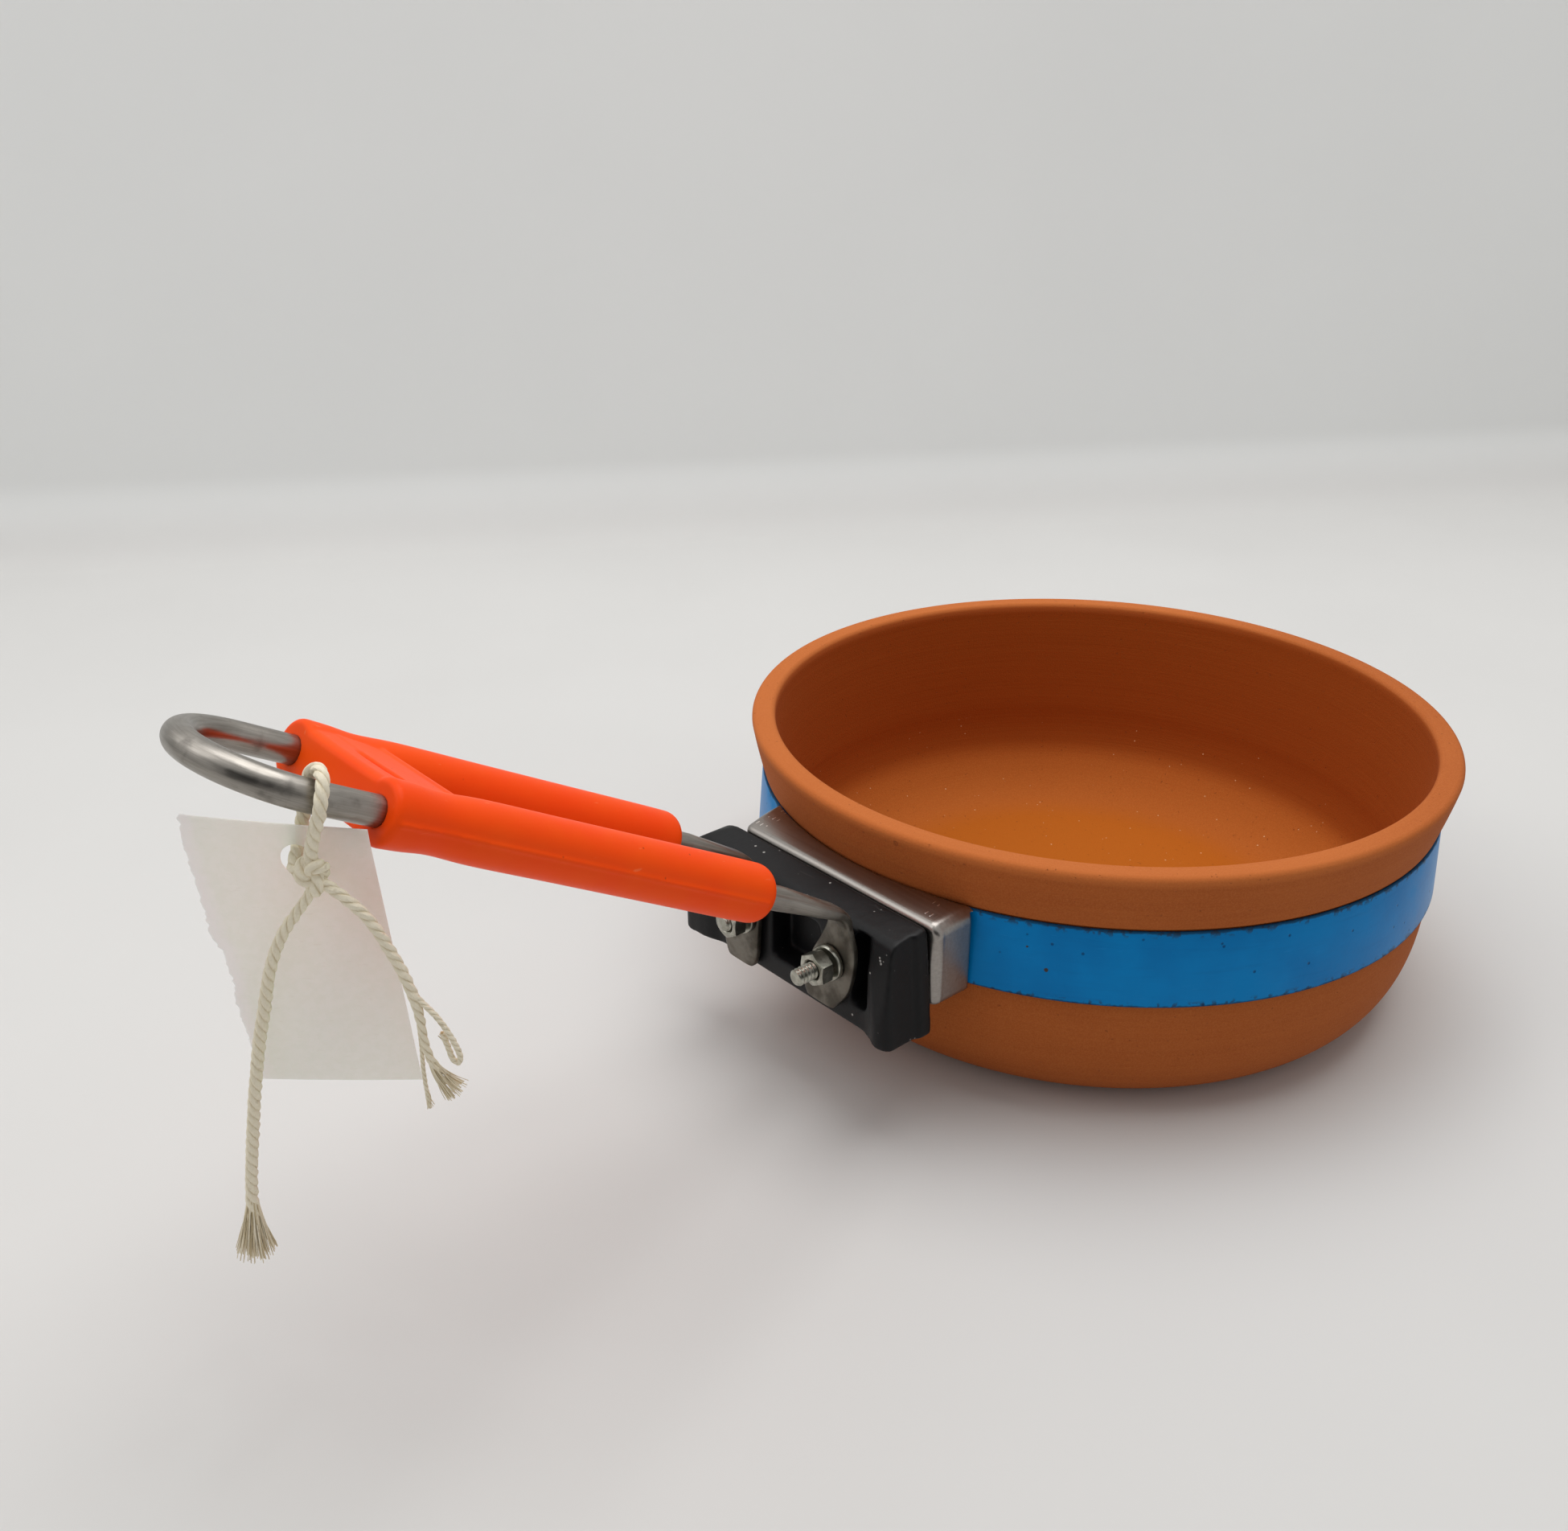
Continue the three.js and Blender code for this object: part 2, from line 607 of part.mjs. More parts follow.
function buildHandle() {
  const near = legRings(-1, nearTabLength, nearTabShape);
  const far = legRings(1, farTabLength, farTabShape);
  const bend = [];
  const steps = 18;
  const centre = new THREE.Vector3(-tabMiddle, 0, cornerHeight).addScaledVector(legDirection, legLength);
  for (let i = 0; i <= steps; i += 1) {
    const angle = (Math.PI * i) / steps;
    const radial = new THREE.Vector3(0, -Math.cos(angle), 0).addScaledVector(legDirection, Math.sin(angle));
    const middle = centre.clone().addScaledVector(radial, legSide);
    bend.push(wireRing(middle, radial, legNormal.clone().negate(), rodRadius, rodRadius));
  }
  let handle = solid(loft([...near, ...bend, ...far.reverse()]));
  for (const { y, z } of bolts) {
    handle = handle.subtract(barAlongX(boltHoleRadius, bossFront, washerFront, y, z));
  }
  addPiece('handle_rod', handle, materials.wire);
}

// Moves a shape that is drawn along +X, with +Z as its upper side, onto the handle's legs.
function onHandle(geometry) {
  const basis = new THREE.Matrix4().makeBasis(legDirection, new THREE.Vector3(0, -1, 0), legNormal);
  basis.setPosition(-tabMiddle, 0, cornerHeight);
  return geometry.applyMatrix4(basis);
}

function buildGrip() {
  const bore = rodRadius + gap;
  const sleeve = bore + gripWall;
  const end = gripStart + gripLength;
  const swollen = sleeve + gripSwell;
  const waist = sleeve - gripWaist;
  const profile = [
    [0, 0],
    [swollen - gripRound, 0],
    [swollen - gripRound * 0.3, gripRound * 0.3],
    [swollen, gripRound],
    [swollen, gripLength * 0.12],
    [sleeve + gripSwell * 0.5, gripLength * 0.35],
    [sleeve, gripLength * 0.6],
    [sleeve - gripWaist * 0.2, gripLength * 0.78],
    [waist, gripLength * 0.88],
    [sleeve - gripWaist * 0.3, gripLength * 0.94],
    [sleeve, gripLength - gripEndRound],
    [sleeve - gripEndRound * 0.3, gripLength - gripEndRound * 0.3],
    [sleeve - gripEndRound, gripLength],
    [0, gripLength],
  ];
  const sleeveAt = (y) => {
    const geometry = lathe(profile, smallSteps);
    geometry.rotateY(Math.PI / 2);
    geometry.translate(gripStart, y, 0);
    return solid(onHandle(geometry));
  };
  const low = -endWallHeight / 2;
  const wallStart = end - endWallThickness;
  const ribEnd = wallStart - grooveWidth;
  const top = low + endWallHeight;
  // Side view of the web: a rib, a narrow groove and the end wall.
  const web = new THREE.Shape([
    [ribEnd - ribThickness, low], [end - gap, low], [end - gap, top - endWallRound],
    [end - gap - endWallRound, top], [wallStart, top], [wallStart, top - grooveDepth],
    [ribEnd, top - grooveDepth], [ribEnd, top], [ribEnd - ribThickness, low + ribHeight],
  ].map(([along, up]) => new THREE.Vector2(along, up)));
  const webGeometry = new THREE.ExtrudeGeometry(web, { depth: legSpacing, bevelEnabled: false });
  webGeometry.rotateX(Math.PI / 2);
  webGeometry.translate(0, legSide, 0);
  let grip = sleeveAt(-legSide).add(sleeveAt(legSide)).add(solid(onHandle(webGeometry)));
  for (const y of [-legSide, legSide]) {
    const geometry = new THREE.CylinderGeometry(bore, bore, gripLength + 2 * gripWall, smallSteps);
    geometry.rotateZ(Math.PI / 2);
    geometry.translate(gripStart + gripLength / 2, y, 0);
    grip = grip.subtract(solid(onHandle(geometry)));
  }
  addPiece('grip', grip, materials.grip);
}

function hexagon(acrossFlats) {
  const radius = acrossFlats / Math.sqrt(3);
  return new THREE.Shape(Array.from({ length: 6 }, (_, i) => {
    const angle = (Math.PI * i) / 3 + Math.PI / 6;
    return new THREE.Vector2(radius * Math.cos(angle), radius * Math.sin(angle));
  }));
}

function buildFasteners() {
  for (const { name, y, z, reach } of bolts) {
    const hole = barAlongX(boltHoleRadius, headBack, nutFront + 1, y, z);
    const head = raisedOutwards(hexagon(headWidth), headBack, headBack + headThickness).translate([0, y, z]);
    const shank = barAlongX(boltDiameter / 2, headBack + headThickness / 2, nutFront + reach, y, z);
    addPiece(`bolt_${name}`, head.add(shank), materials.zinc);
    const disc = barAlongX(washerDiameter / 2, tabFront + gap, washerFront, y, z);
    addPiece(`washer_${name}`, disc.subtract(hole), materials.zinc);
    const nut = raisedOutwards(hexagon(nutWidth), washerFront + gap, nutFront).translate([0, y, z]);
    addPiece(`nut_${name}`, nut.subtract(hole), materials.zinc);
  }
}

// The tag's group sits on the near leg: X runs along the tag, Y away from its bare side, Z up.
function tagGroup() {
  const group = new THREE.Group();
  group.position.set(-tabMiddle, -legSide, cornerHeight).addScaledVector(legDirection, tagPlace);
  group.rotation.z = tagTurn;
  pan.add(group);
  return group;
}

const tagHole = [-5.4, -10.4];
const knotCentre = new THREE.Vector3(-2, -3.6, -11.2);

// Corners of the paper as (along, up): the near side is torn, the others are cut straight.
const tagOutline = [
  [-22.8, -2.8], [-23.2, -6.4], [-22.5, -12], [-21.6, -20], [-21.5, -24.5], [-19.6, -28.4], [-19, -34.2],
  [-19.2, -37.4], [-18.4, -42.7], [-17.4, -53], [9.8, -53.2], [7, -16], [6.4, -8.6], [6.2, -5.4],
];

// Twine routes in the tag's group, chosen by hand: over the rod and through the hole, and the two
// free ends.
const loopRoute = [
  [-1.7, -3.8, -7.2], [-0.6, -4.3, -3.8], [0.7, -4.7, -0.5], [1.2, -4.6, 1.7], [1.3, -2.7, 4.2],
  [0.05, 0.05, 4.95], [-1.85, 2.25, 3.75], [-3.2, 2.55, 1], [-3.9, 2.5, -2.5], [-4.7, 2.2, -6],
  [-5.3, 1.4, -8.4], [-5.4, 0, -9.5], [-5.4, -1.5, -10.4], [-5.2, -2.4, -10.9],
];
const longRoute = [
  [-3, -3.8, -14.8], [-5.2, -3.8, -17.8], [-7.8, -3.8, -21.4], [-9.7, -3.7, -25], [-11.6, -3.6, -30],
  [-13.2, -3.4, -36], [-14.9, -3.3, -42], [-16.4, -3.2, -48.4], [-17.9, -3.1, -55.2], [-19.1, -3, -61.5],
  [-20.2, -3, -67.4], [-21.1, -3, -73], [-21.7, -3, -78], [-22.2, -3, -83], [-22.6, -3, -88.5],
];
const shortRoute = [
  [0.3, -4, -13.2], [2.8, -4.1, -15.4], [5.2, -4, -18.2], [7, -3.8, -21.6], [8.5, -3.6, -25.4],
  [9.7, -3.5, -28.6], [10.6, -3.4, -31.8], [11.4, -3.3, -35.4], [11.8, -3.3, -39], [11.9, -3.2, -42],
  [12.3, -3.2, -45.2], [13.4, -3.1, -48.5], [15, -3, -51.4], [16.6, -3, -53.4],
];

function twine(route, steps) {
  const curve = new THREE.CatmullRomCurve3(route.map((point) => new THREE.Vector3(...point)));
  const section = new THREE.Shape(Array.from({ length: 8 }, (_, i) => {
    const angle = (Math.PI * (i + 0.5)) / 4;
    return new THREE.Vector2(Math.cos(angle), Math.sin(angle)).multiplyScalar(twineDiameter / 2);
  }));
  return solid(new THREE.ExtrudeGeometry(section, { steps, bevelEnabled: false, extrudePath: curve }));
}

function buildTag() {
  const group = tagGroup();
  const paper = new THREE.Shape(tagOutline.map(([along, up]) => new THREE.Vector2(along, up)));
  const hole = new THREE.Path();
  hole.absarc(...tagHole, tagHoleRadius, 0, 2 * Math.PI, true);
  paper.holes.push(hole);
  const sheet = new THREE.ExtrudeGeometry(paper,
    { depth: tagThickness, bevelEnabled: false, curveSegments: 12 });
  sheet.translate(0, 0, -tagThickness / 2);
  sheet.rotateX(Math.PI / 2);
  addPiece('hang_tag', solid(sheet), materials.paper, group);
  const knot = new THREE.SphereGeometry(1, 14, 10);
  knot.scale(...knotRadii);
  knot.translate(...knotCentre);
  addPiece('twine_knot', solid(knot), materials.twine, group);
  addPiece('twine_loop', twine(loopRoute, 26), materials.twine, group);
  addPiece('twine_long_tail', twine(longRoute, 16), materials.twine, group);
  addPiece('twine_short_tail', twine(shortRoute, 12), materials.twine, group);
}

buildBowl();
buildBand();
buildSaddle();
buildBlock();
buildHandle();
buildGrip();
buildFasteners();
buildTag();

export default pan;
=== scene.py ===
"""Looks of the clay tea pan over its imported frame: metres, +Z up, the handle points along -X."""
import math

import bmesh
import bpy
import numpy as np
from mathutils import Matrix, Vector
from mathutils.geometry import delaunay_2d_cdt


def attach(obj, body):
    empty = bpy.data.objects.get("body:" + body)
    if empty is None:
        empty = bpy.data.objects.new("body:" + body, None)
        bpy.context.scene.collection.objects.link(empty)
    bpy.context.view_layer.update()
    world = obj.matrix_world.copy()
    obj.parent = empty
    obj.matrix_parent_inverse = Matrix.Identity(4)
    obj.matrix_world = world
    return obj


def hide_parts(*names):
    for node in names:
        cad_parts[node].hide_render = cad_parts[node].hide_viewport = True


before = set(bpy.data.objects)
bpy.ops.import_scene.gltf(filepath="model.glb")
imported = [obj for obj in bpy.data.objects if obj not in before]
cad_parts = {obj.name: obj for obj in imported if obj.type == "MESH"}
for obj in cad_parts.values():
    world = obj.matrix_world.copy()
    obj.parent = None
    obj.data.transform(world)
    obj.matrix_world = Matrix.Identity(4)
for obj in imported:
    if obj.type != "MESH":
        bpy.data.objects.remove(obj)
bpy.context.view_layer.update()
scene = bpy.context.scene
scene.view_settings.view_transform = "Standard"

# Sizes repeated from the part's source, in millimetres; outward distances run along -X from the bowl's axis
MM = 0.001
RIM, HEIGHT, LIP_WIDTH, LIP_ROUND = 90.3, 66.4, 6.1, 1.4
COLLAR_LOW, COLLAR_RADIUS = 51.9, 87.3
FOOT_RADIUS, FLOOR_RADIUS, FLOOR, WALL = 65, 55, 8, 6.2
BAND_LOW, BAND_TOP, BAND_RADIUS, BAND_FLARE, BAND_SHEET = 33.0, 51.6, 88.1, 1.2, 0.8
BAND_END, LUG_OUT, LUG_FROM, LUG_TO, LUG_LOW, LUG_TOP = 25.2, 92.7, 21.05, 8.55, 33.65, 47.65
BOLTS = {"right": (-14.8, 41.4, 118.9), "left": (14.8, 39.9, 115.1)}
HOLE_RADIUS = 2.3
SADDLE_OUT, SADDLE_TOP, SADDLE_NEAR, SADDLE_SPREAD, SADDLE_DEPTH = 94.2, 52.7, 30, 2, 11.4
# Where the tray's near side stands, square to the block
SADDLE_SIDE = 33.4
CORNER = np.array([-107.1, 0.0, 53.8])
TILT = math.radians(30)
LEG = np.array([-math.cos(TILT), 0.0, math.sin(TILT)])
LEG_UP = np.array([math.sin(TILT), 0.0, math.cos(TILT)])
LEG_SIDE, LEG_LENGTH, ROD = 15.5, 127.9, 2.7
BEND_RADIUS, FLATTEN = 5.0, 17.0
TAB_HALF, TAB_THICK = 6.5, 1.1
# For the near and the far tab: length, then shares of its height, width and lean, from its cut end to its bend
TABS = {
    -1: (24.9, [(0, 0.68, 0.71), (0.07, 0.83, 0.68), (0.19, 0.94, 0.49), (0.32, 1, 0.32), (0.54, 1, 0.15),
                (0.75, 0.83, -0.06), (0.93, 0.6, -0.12), (1, 0.52, -0.12)]),
    1: (27.5, [(0, 0.66, -0.26), (0.05, 0.78, -0.25), (0.17, 0.9, -0.25), (0.35, 0.94, -0.25),
               (0.58, 0.95, -0.18), (0.78, 0.83, -0.09), (0.93, 0.6, 0), (1, 0.52, 0)]),
}
TAG_PLACE = CORNER + LEG * 127.4 + np.array([0.0, -LEG_SIDE, 0.0])
TAG_TURN = math.radians(-41.3)
TWINE = 1.05
# The camera: its place in metres, where it looks, and its focal length and picture width in pixels
EYE, AIM, FOCAL, PICTURE, SENSOR = (-0.2995, -0.2165, 0.2201), (0.5972, 0.6790, -0.4270), 1850, 1950, 36

rng = np.random.default_rng(7)


def srgb(*values):
    """A colour as it is seen, from 0 to 255, as the linear numbers that sockets take."""
    linear = [((v / 255 + 0.055) / 1.055) ** 2.4 if v > 10 else v / 255 / 12.92 for v in values]
    return (*linear, 1.0)


def unit(vectors):
    return vectors / np.linalg.norm(vectors, axis=-1, keepdims=True)


class Look:
    """A procedural material, with short names for the nodes that all of them use."""

    def __init__(self, name, sockets):
        self.material = bpy.data.materials.new(name)
        self.material.use_nodes = True
        self.tree = self.material.node_tree
        self.shader = self.tree.nodes["Principled BSDF"]
        for socket, value in sockets.items():
            self.shader.inputs[socket].default_value = value
        self.place = self.add("ShaderNodeTexCoord").outputs["Object"]
        self.x, self.y, self.z = self.add("ShaderNodeSeparateXYZ", {0: self.place}).outputs

    def add(self, kind, inputs=None, **settings):
        node = self.tree.nodes.new(kind)
        for key, value in settings.items():
            setattr(node, key, value)
        for socket, value in (inputs or {}).items():
            self.feed(node.inputs[socket], value)
        return node

    def feed(self, socket, value):
        if isinstance(value, bpy.types.NodeSocket):
            self.tree.links.new(value, socket)
        else:
            socket.default_value = value

    def math(self, operation, a, b=0.0):
        return self.add("ShaderNodeMath", {0: a, 1: b}, operation=operation).outputs[0]

    def times(self, a, b):
        return self.math("MULTIPLY", a, b)

    def plus(self, a, b):
        return self.math("ADD", a, b)

    def minus(self, a, b):
        return self.math("SUBTRACT", a, b)

    def join(self, x, y, z):
        return self.add("ShaderNodeCombineXYZ", {0: x, 1: y, 2: z}).outputs[0]

    def stretch(self, x, y, z):
        return self.add("ShaderNodeVectorMath", {0: self.place, 1: (x, y, z)}, operation="MULTIPLY").outputs[0]

    def noise(self, scale, detail=3.0, rough=0.55, vector=None):
        inputs = {"Vector": vector or self.place, "Scale": scale, "Detail": detail, "Roughness": rough}
        return self.add("ShaderNodeTexNoise", inputs).outputs["Fac"]

    def cells(self, scale):
        return self.add("ShaderNodeTexVoronoi", {"Vector": self.place, "Scale": scale}).outputs["Distance"]

    def mark(self, name):
        return self.add("ShaderNodeAttribute", attribute_name=name).outputs["Fac"]

    def step(self, value, low, high):
        """0 below low, 1 above high and smooth between; low may be the larger one."""
        inputs = {0: value, 1: low, 2: high}
        return self.add("ShaderNodeMapRange", inputs, interpolation_type="SMOOTHSTEP").outputs[0]

    def mix(self, share, a, b):
        return self.add("ShaderNodeMix", {0: share, 6: a, 7: b}, data_type="RGBA").outputs[2]

    def over(self, base, mask, strength, colour):
        """Lays a colour over another one where the mask is 1."""
        return self.mix(self.times(mask, strength), base, colour)

    def lerp(self, share, a, b):
        return self.add("ShaderNodeMapRange", {0: share, 3: a, 4: b}).outputs[0]

    def spot(self, centre, radius):
        """1 inside a small ragged patch around a point in millimetres."""
        inputs = {0: self.place, 1: [value * MM for value in centre]}
        away = self.add("ShaderNodeVectorMath", inputs, operation="DISTANCE").outputs["Value"]
        size = self.math("DIVIDE", away, radius * MM)
        edge = self.times(self.minus(self.noise(900), 0.5), 1.2)
        return self.step(self.plus(size, edge), 1.15, 0.85)

    def most(self, *values):
        top = values[0]
        for value in values[1:]:
            top = self.math("MAXIMUM", top, value)
        return top

    def colour(self, value):
        self.feed(self.shader.inputs["Base Color"], value)

    def rough(self, value):
        self.feed(self.shader.inputs["Roughness"], value)

    def bump(self, height, distance):
        """Adds relief of a depth in millimetres over what is there already."""
        socket = self.shader.inputs["Normal"]
        inputs = {"Height": height, "Distance": distance * MM, "Strength": 1.0}
        if socket.is_linked:
            inputs["Normal"] = socket.links[0].from_socket
        self.feed(socket, self.add("ShaderNodeBump", inputs).outputs[0])


def clay_look():
    look = Look("clay", {"Roughness": 0.88, "Specular IOR Level": 0.2})
    radius = look.math("SQRT", look.plus(look.times(look.x, look.x), look.times(look.y, look.y)))
    angle = look.math("ARCTAN2", look.y, look.x)
    turned = [look.join(look.times(radius, close), look.times(angle, long), look.times(look.z, close))
              for close, long in ((1500, 2.2), (240, 0.9))]
    fine, broad = look.noise(1.0, 3.0, 0.6, turned[0]), look.noise(1.0, 2.0, 0.5, turned[1])
    cloud = look.noise(34, 3.0)
    grain = look.noise(2600, 2.0, 0.7)
    pores = look.step(look.noise(1050, 1.0), 0.74, 0.79)
    specks = look.step(look.cells(420), 0.12, 0.07)
    sparse = look.times(look.step(look.noise(210, 1.0), 0.55, 0.63), look.step(look.z, 0.034, 0.022))
    tone = look.plus(look.times(fine, 0.45), look.times(broad, 0.35))
    tone = look.plus(tone, look.times(cloud, 0.4))
    base = look.mix(look.step(tone, 0.4, 0.8), srgb(164, 83, 34), srgb(173, 91, 39))
    base = look.over(base, look.step(grain, 0.35, 0.7), 0.45, srgb(189, 109, 54))
    lip = look.step(look.z, 0.0632, 0.0652)
    inner = look.mark("inner")
    # Painted shade: the whole inside is darker and redder, as the bowl's hollow lies in shade
    base = look.over(base, inner, 0.75, srgb(155, 70, 5))
    # The lip is worn paler; painted shade tones that paleness down on the side the lamp lights most
    lamp_lit_side = look.minus(look.times(look.x, 0.75), look.times(look.y, 0.66))
    base = look.mix(look.times(lip, look.lerp(look.step(lamp_lit_side, 0.03, 0.08), 0.5, 0.15)), base,
                    srgb(208, 119, 60))
    # Painted light: a paler ring where the wall turns in, and a yellower floor inside it, where light from
    # above falls on the lower inside
    ring = look.times(inner, look.step(look.z, 0.0228, 0.0158))
    painted_light_tone = look.mix(look.step(grain, 0.35, 0.7), srgb(183, 97, 35), srgb(192, 106, 42))
    base = look.over(base, ring, 0.95, painted_light_tone)
    floor = look.times(inner, look.step(radius, 0.066, 0.05))
    base = look.over(base, floor, 0.9, srgb(183, 96, 16))
    base = look.over(base, pores, 0.3, srgb(120, 62, 30))
    specks = look.times(look.times(specks, sparse), inner)
    base = look.over(base, specks, 0.8, srgb(236, 196, 150))
    chips = look.most(look.spot((-88.4, -14.4, 63.7), 0.8), look.spot((-86.7, -22.5, 65.5), 0.6),
                      look.spot((-32.9, -77.3, 23.4), 0.5))
    base = look.over(base, chips, 0.4, srgb(130, 64, 30))
    look.colour(base)
    look.bump(fine, 0.07)
    look.bump(broad, 0.1)
    look.bump(grain, 0.08)
    look.bump(look.times(look.most(pores, chips), -1), 0.15)
    return look.material


def band_look():
    look = Look("band_paint", {"Roughness": 0.36, "Specular IOR Level": 0.1})
    cloud = look.noise(70, 4.0)
    peel = look.noise(900, 2.0)
    base = look.mix(look.step(cloud, 0.3, 0.7), srgb(0, 119, 188), srgb(0, 129, 199))
    streaks = look.noise(1.0, 3.0, 0.6, look.stretch(60, 60, 900))
    base = look.over(base, look.step(streaks, 0.5, 0.8), 0.25, srgb(0, 101, 168))
    middle = (BAND_LOW + BAND_TOP) / 2 * MM
    away = look.math("ABSOLUTE", look.minus(look.z, middle))
    # A dark line along both edges: painted shade under the collar along the top edge, dirt along the bottom
    # edge
    edge_wear_and_shade = look.plus(away, look.times(look.minus(look.noise(420), 0.5), 0.0009))
    edge = look.step(edge_wear_and_shade, 0.0086, 0.0091)
    rust = look.times(look.step(away, 0.0074, 0.0088), look.step(look.noise(560, 2.0), 0.53, 0.62))
    base = look.over(base, edge, 0.75, srgb(22, 42, 60))
    base = look.over(base, rust, 0.7, srgb(40, 48, 60))
    rubbed = look.step(look.noise(1.0, 2.0, 0.6, look.stretch(150, 150, 1500)), 0.66, 0.74)
    base = look.over(base, rubbed, 0.3, srgb(30, 140, 205))
    flecks = look.step(look.cells(210), 0.1, 0.05)
    base = look.over(base, flecks, 0.7, srgb(8, 52, 96))
    chips = look.most(look.spot((-76.8, -43.6, 45.4), 0.45), look.spot((-74.5, -47.6, 40.4), 0.5))
    base = look.mix(chips, base, srgb(70, 62, 58))
    look.colour(base)
    look.rough(look.lerp(look.most(edge, chips, look.step(cloud, 0.5, 0.9)), 0.32, 0.6))
    look.bump(peel, 0.025)
    look.bump(look.times(look.most(chips, flecks), -1), 0.08)
    return look.material


def stainless_look():
    look = Look("stainless", {"Metallic": 1.0, "Roughness": 0.3})
    brushed = look.noise(1.0, 4.0, 0.7, look.stretch(1500, 40, 1500))
    cloud = look.noise(120, 3.0)
    base = look.mix(look.step(brushed, 0.3, 0.7), srgb(148, 143, 138), srgb(160, 155, 150))
    base = look.over(base, look.step(cloud, 0.45, 0.8), 0.3, srgb(150, 140, 132))
    # Short tool marks across the top flange, near its two ends
    near = look.times(look.step(look.y, -0.0225, -0.0235), look.step(look.y, -0.0295, -0.0285))
    far = look.times(look.step(look.y, 0.0255, 0.0265), look.step(look.y, 0.0318, 0.0308))
    wave = look.math("SINE", look.plus(look.times(look.y, 4200), look.noise(300)))
    patch = look.step(look.noise(330, 1.0), 0.46, 0.56)
    ticks = look.times(look.step(wave, 0.75, 0.95), look.times(look.most(near, far), patch))
    rows = look.step(look.math("SINE", look.times(look.x, 1570)), 0.45, 0.75)
    ticks = look.times(look.times(ticks, rows), look.step(look.z, 0.0518, 0.0522))
    base = look.mix(ticks, base, srgb(238, 234, 230))
    scratch = look.step(look.noise(1.0, 1.0, 0.5, look.stretch(260, 2600, 260)), 0.72, 0.76)
    base = look.over(base, scratch, 0.4, srgb(120, 112, 106))
    look.colour(base)
    look.rough(look.lerp(brushed, 0.27, 0.37))
    look.bump(brushed, 0.003)
    look.bump(ticks, 0.06)
    return look.material


def phenolic_look():
    look = Look("phenolic", {"Roughness": 0.42, "Specular IOR Level": 0.22})
    cloud = look.noise(90, 4.0)
    dust = look.step(look.cells(420), 0.1, 0.05)
    sparse = look.step(look.noise(170, 1.0), 0.52, 0.6)
    rub = look.step(look.noise(1.0, 2.0, 0.6, look.stretch(700, 90, 260)), 0.7, 0.78)
    base = look.mix(look.step(cloud, 0.3, 0.7), srgb(9, 9, 11), srgb(16, 16, 18))
    base = look.over(base, look.times(dust, sparse), 0.7, srgb(150, 148, 145))
    base = look.over(base, rub, 0.12, srgb(110, 108, 106))
    places = [(-105.4, -26.8, 46.7), (-105.4, -27.1, 46.1), (-105.5, -27.4, 45.5), (-106, -24.7, 42.1),
              (-105.7, -19.2, 28.3), (-96.6, -1.7, 51), (-98.2, 19.6, 50.9), (-97.7, 23.2, 50.9)]
    nicks = look.most(*[look.spot(place, 0.27) for place in places])
    base = look.over(base, nicks, 0.7, srgb(190, 188, 184))
    look.colour(base)
    look.rough(look.lerp(cloud, 0.36, 0.56))
    look.bump(look.noise(1500, 2.0), 0.02)
    look.bump(look.noise(240, 2.0), 0.08)
    return look.material


def wire_look():
    look = Look("wire", {"Metallic": 1.0, "Roughness": 0.3})
    along, around = look.mark("along"), look.mark("around")
    ring = look.join(look.times(look.math("COSINE", around), 2.4), look.times(look.math("SINE", around), 2.4),
                     look.times(along, 0.06))
    drawn = look.noise(2.2, 4.0, 0.65, ring)
    fine = look.noise(9.0, 3.0, 0.6, ring)
    stain = look.noise(150, 4.0)
    flat = look.mark("flat")
    base = look.mix(look.step(drawn, 0.35, 0.65), srgb(142, 137, 130), srgb(158, 153, 146))
    base = look.over(base, look.step(fine, 0.6, 0.75), 0.15, srgb(98, 94, 90))
    base = look.over(base, look.step(stain, 0.6, 0.74), 0.5, srgb(84, 80, 76))
    tab = look.mix(look.step(stain, 0.4, 0.62), srgb(122, 117, 108), srgb(88, 83, 75))
    base = look.mix(flat, base, tab)
    look.colour(base)
    look.rough(look.lerp(look.most(flat, look.step(stain, 0.45, 0.7)), 0.3, 0.48))
    look.bump(drawn, 0.008)
    look.bump(stain, 0.02)
    return look.material


def grip_look():
    look = Look("grip_plastic", {"Roughness": 0.42, "Specular IOR Level": 0.12})
    cloud = look.noise(60, 3.0)
    base = look.mix(look.step(cloud, 0.3, 0.7), srgb(255, 75, 6), srgb(255, 83, 9))
    flow = look.noise(1.0, 3.0, 0.6, look.stretch(60, 420, 60))
    base = look.over(base, look.step(flow, 0.55, 0.8), 0.3, srgb(250, 70, 8))
    scuff = look.step(look.noise(1.0, 2.0, 0.6, look.stretch(120, 700, 420)), 0.7, 0.76)
    base = look.over(base, scuff, 0.35, srgb(255, 140, 90))
    dirt = look.times(look.step(look.cells(210), 0.07, 0.03), look.step(look.noise(90, 1.0), 0.5, 0.6))
    base = look.over(base, dirt, 0.5, srgb(150, 50, 20))
    look.colour(base)
    look.rough(look.lerp(cloud, 0.36, 0.52))
    look.bump(look.noise(260, 3.0), 0.05)
    look.bump(look.noise(1800, 2.0), 0.012)
    return look.material


def zinc_look():
    look = Look("zinc", {"Metallic": 1.0, "Roughness": 0.28})
    cloud = look.noise(420, 3.0)
    base = look.mix(look.step(cloud, 0.35, 0.65), srgb(150, 149, 138), srgb(182, 181, 170))
    base = look.over(base, look.step(look.noise(900, 2.0), 0.58, 0.7), 0.5, srgb(104, 104, 98))
    look.colour(base)
    look.rough(look.lerp(cloud, 0.22, 0.4))
    look.bump(look.noise(1300, 2.0), 0.02)
    return look.material


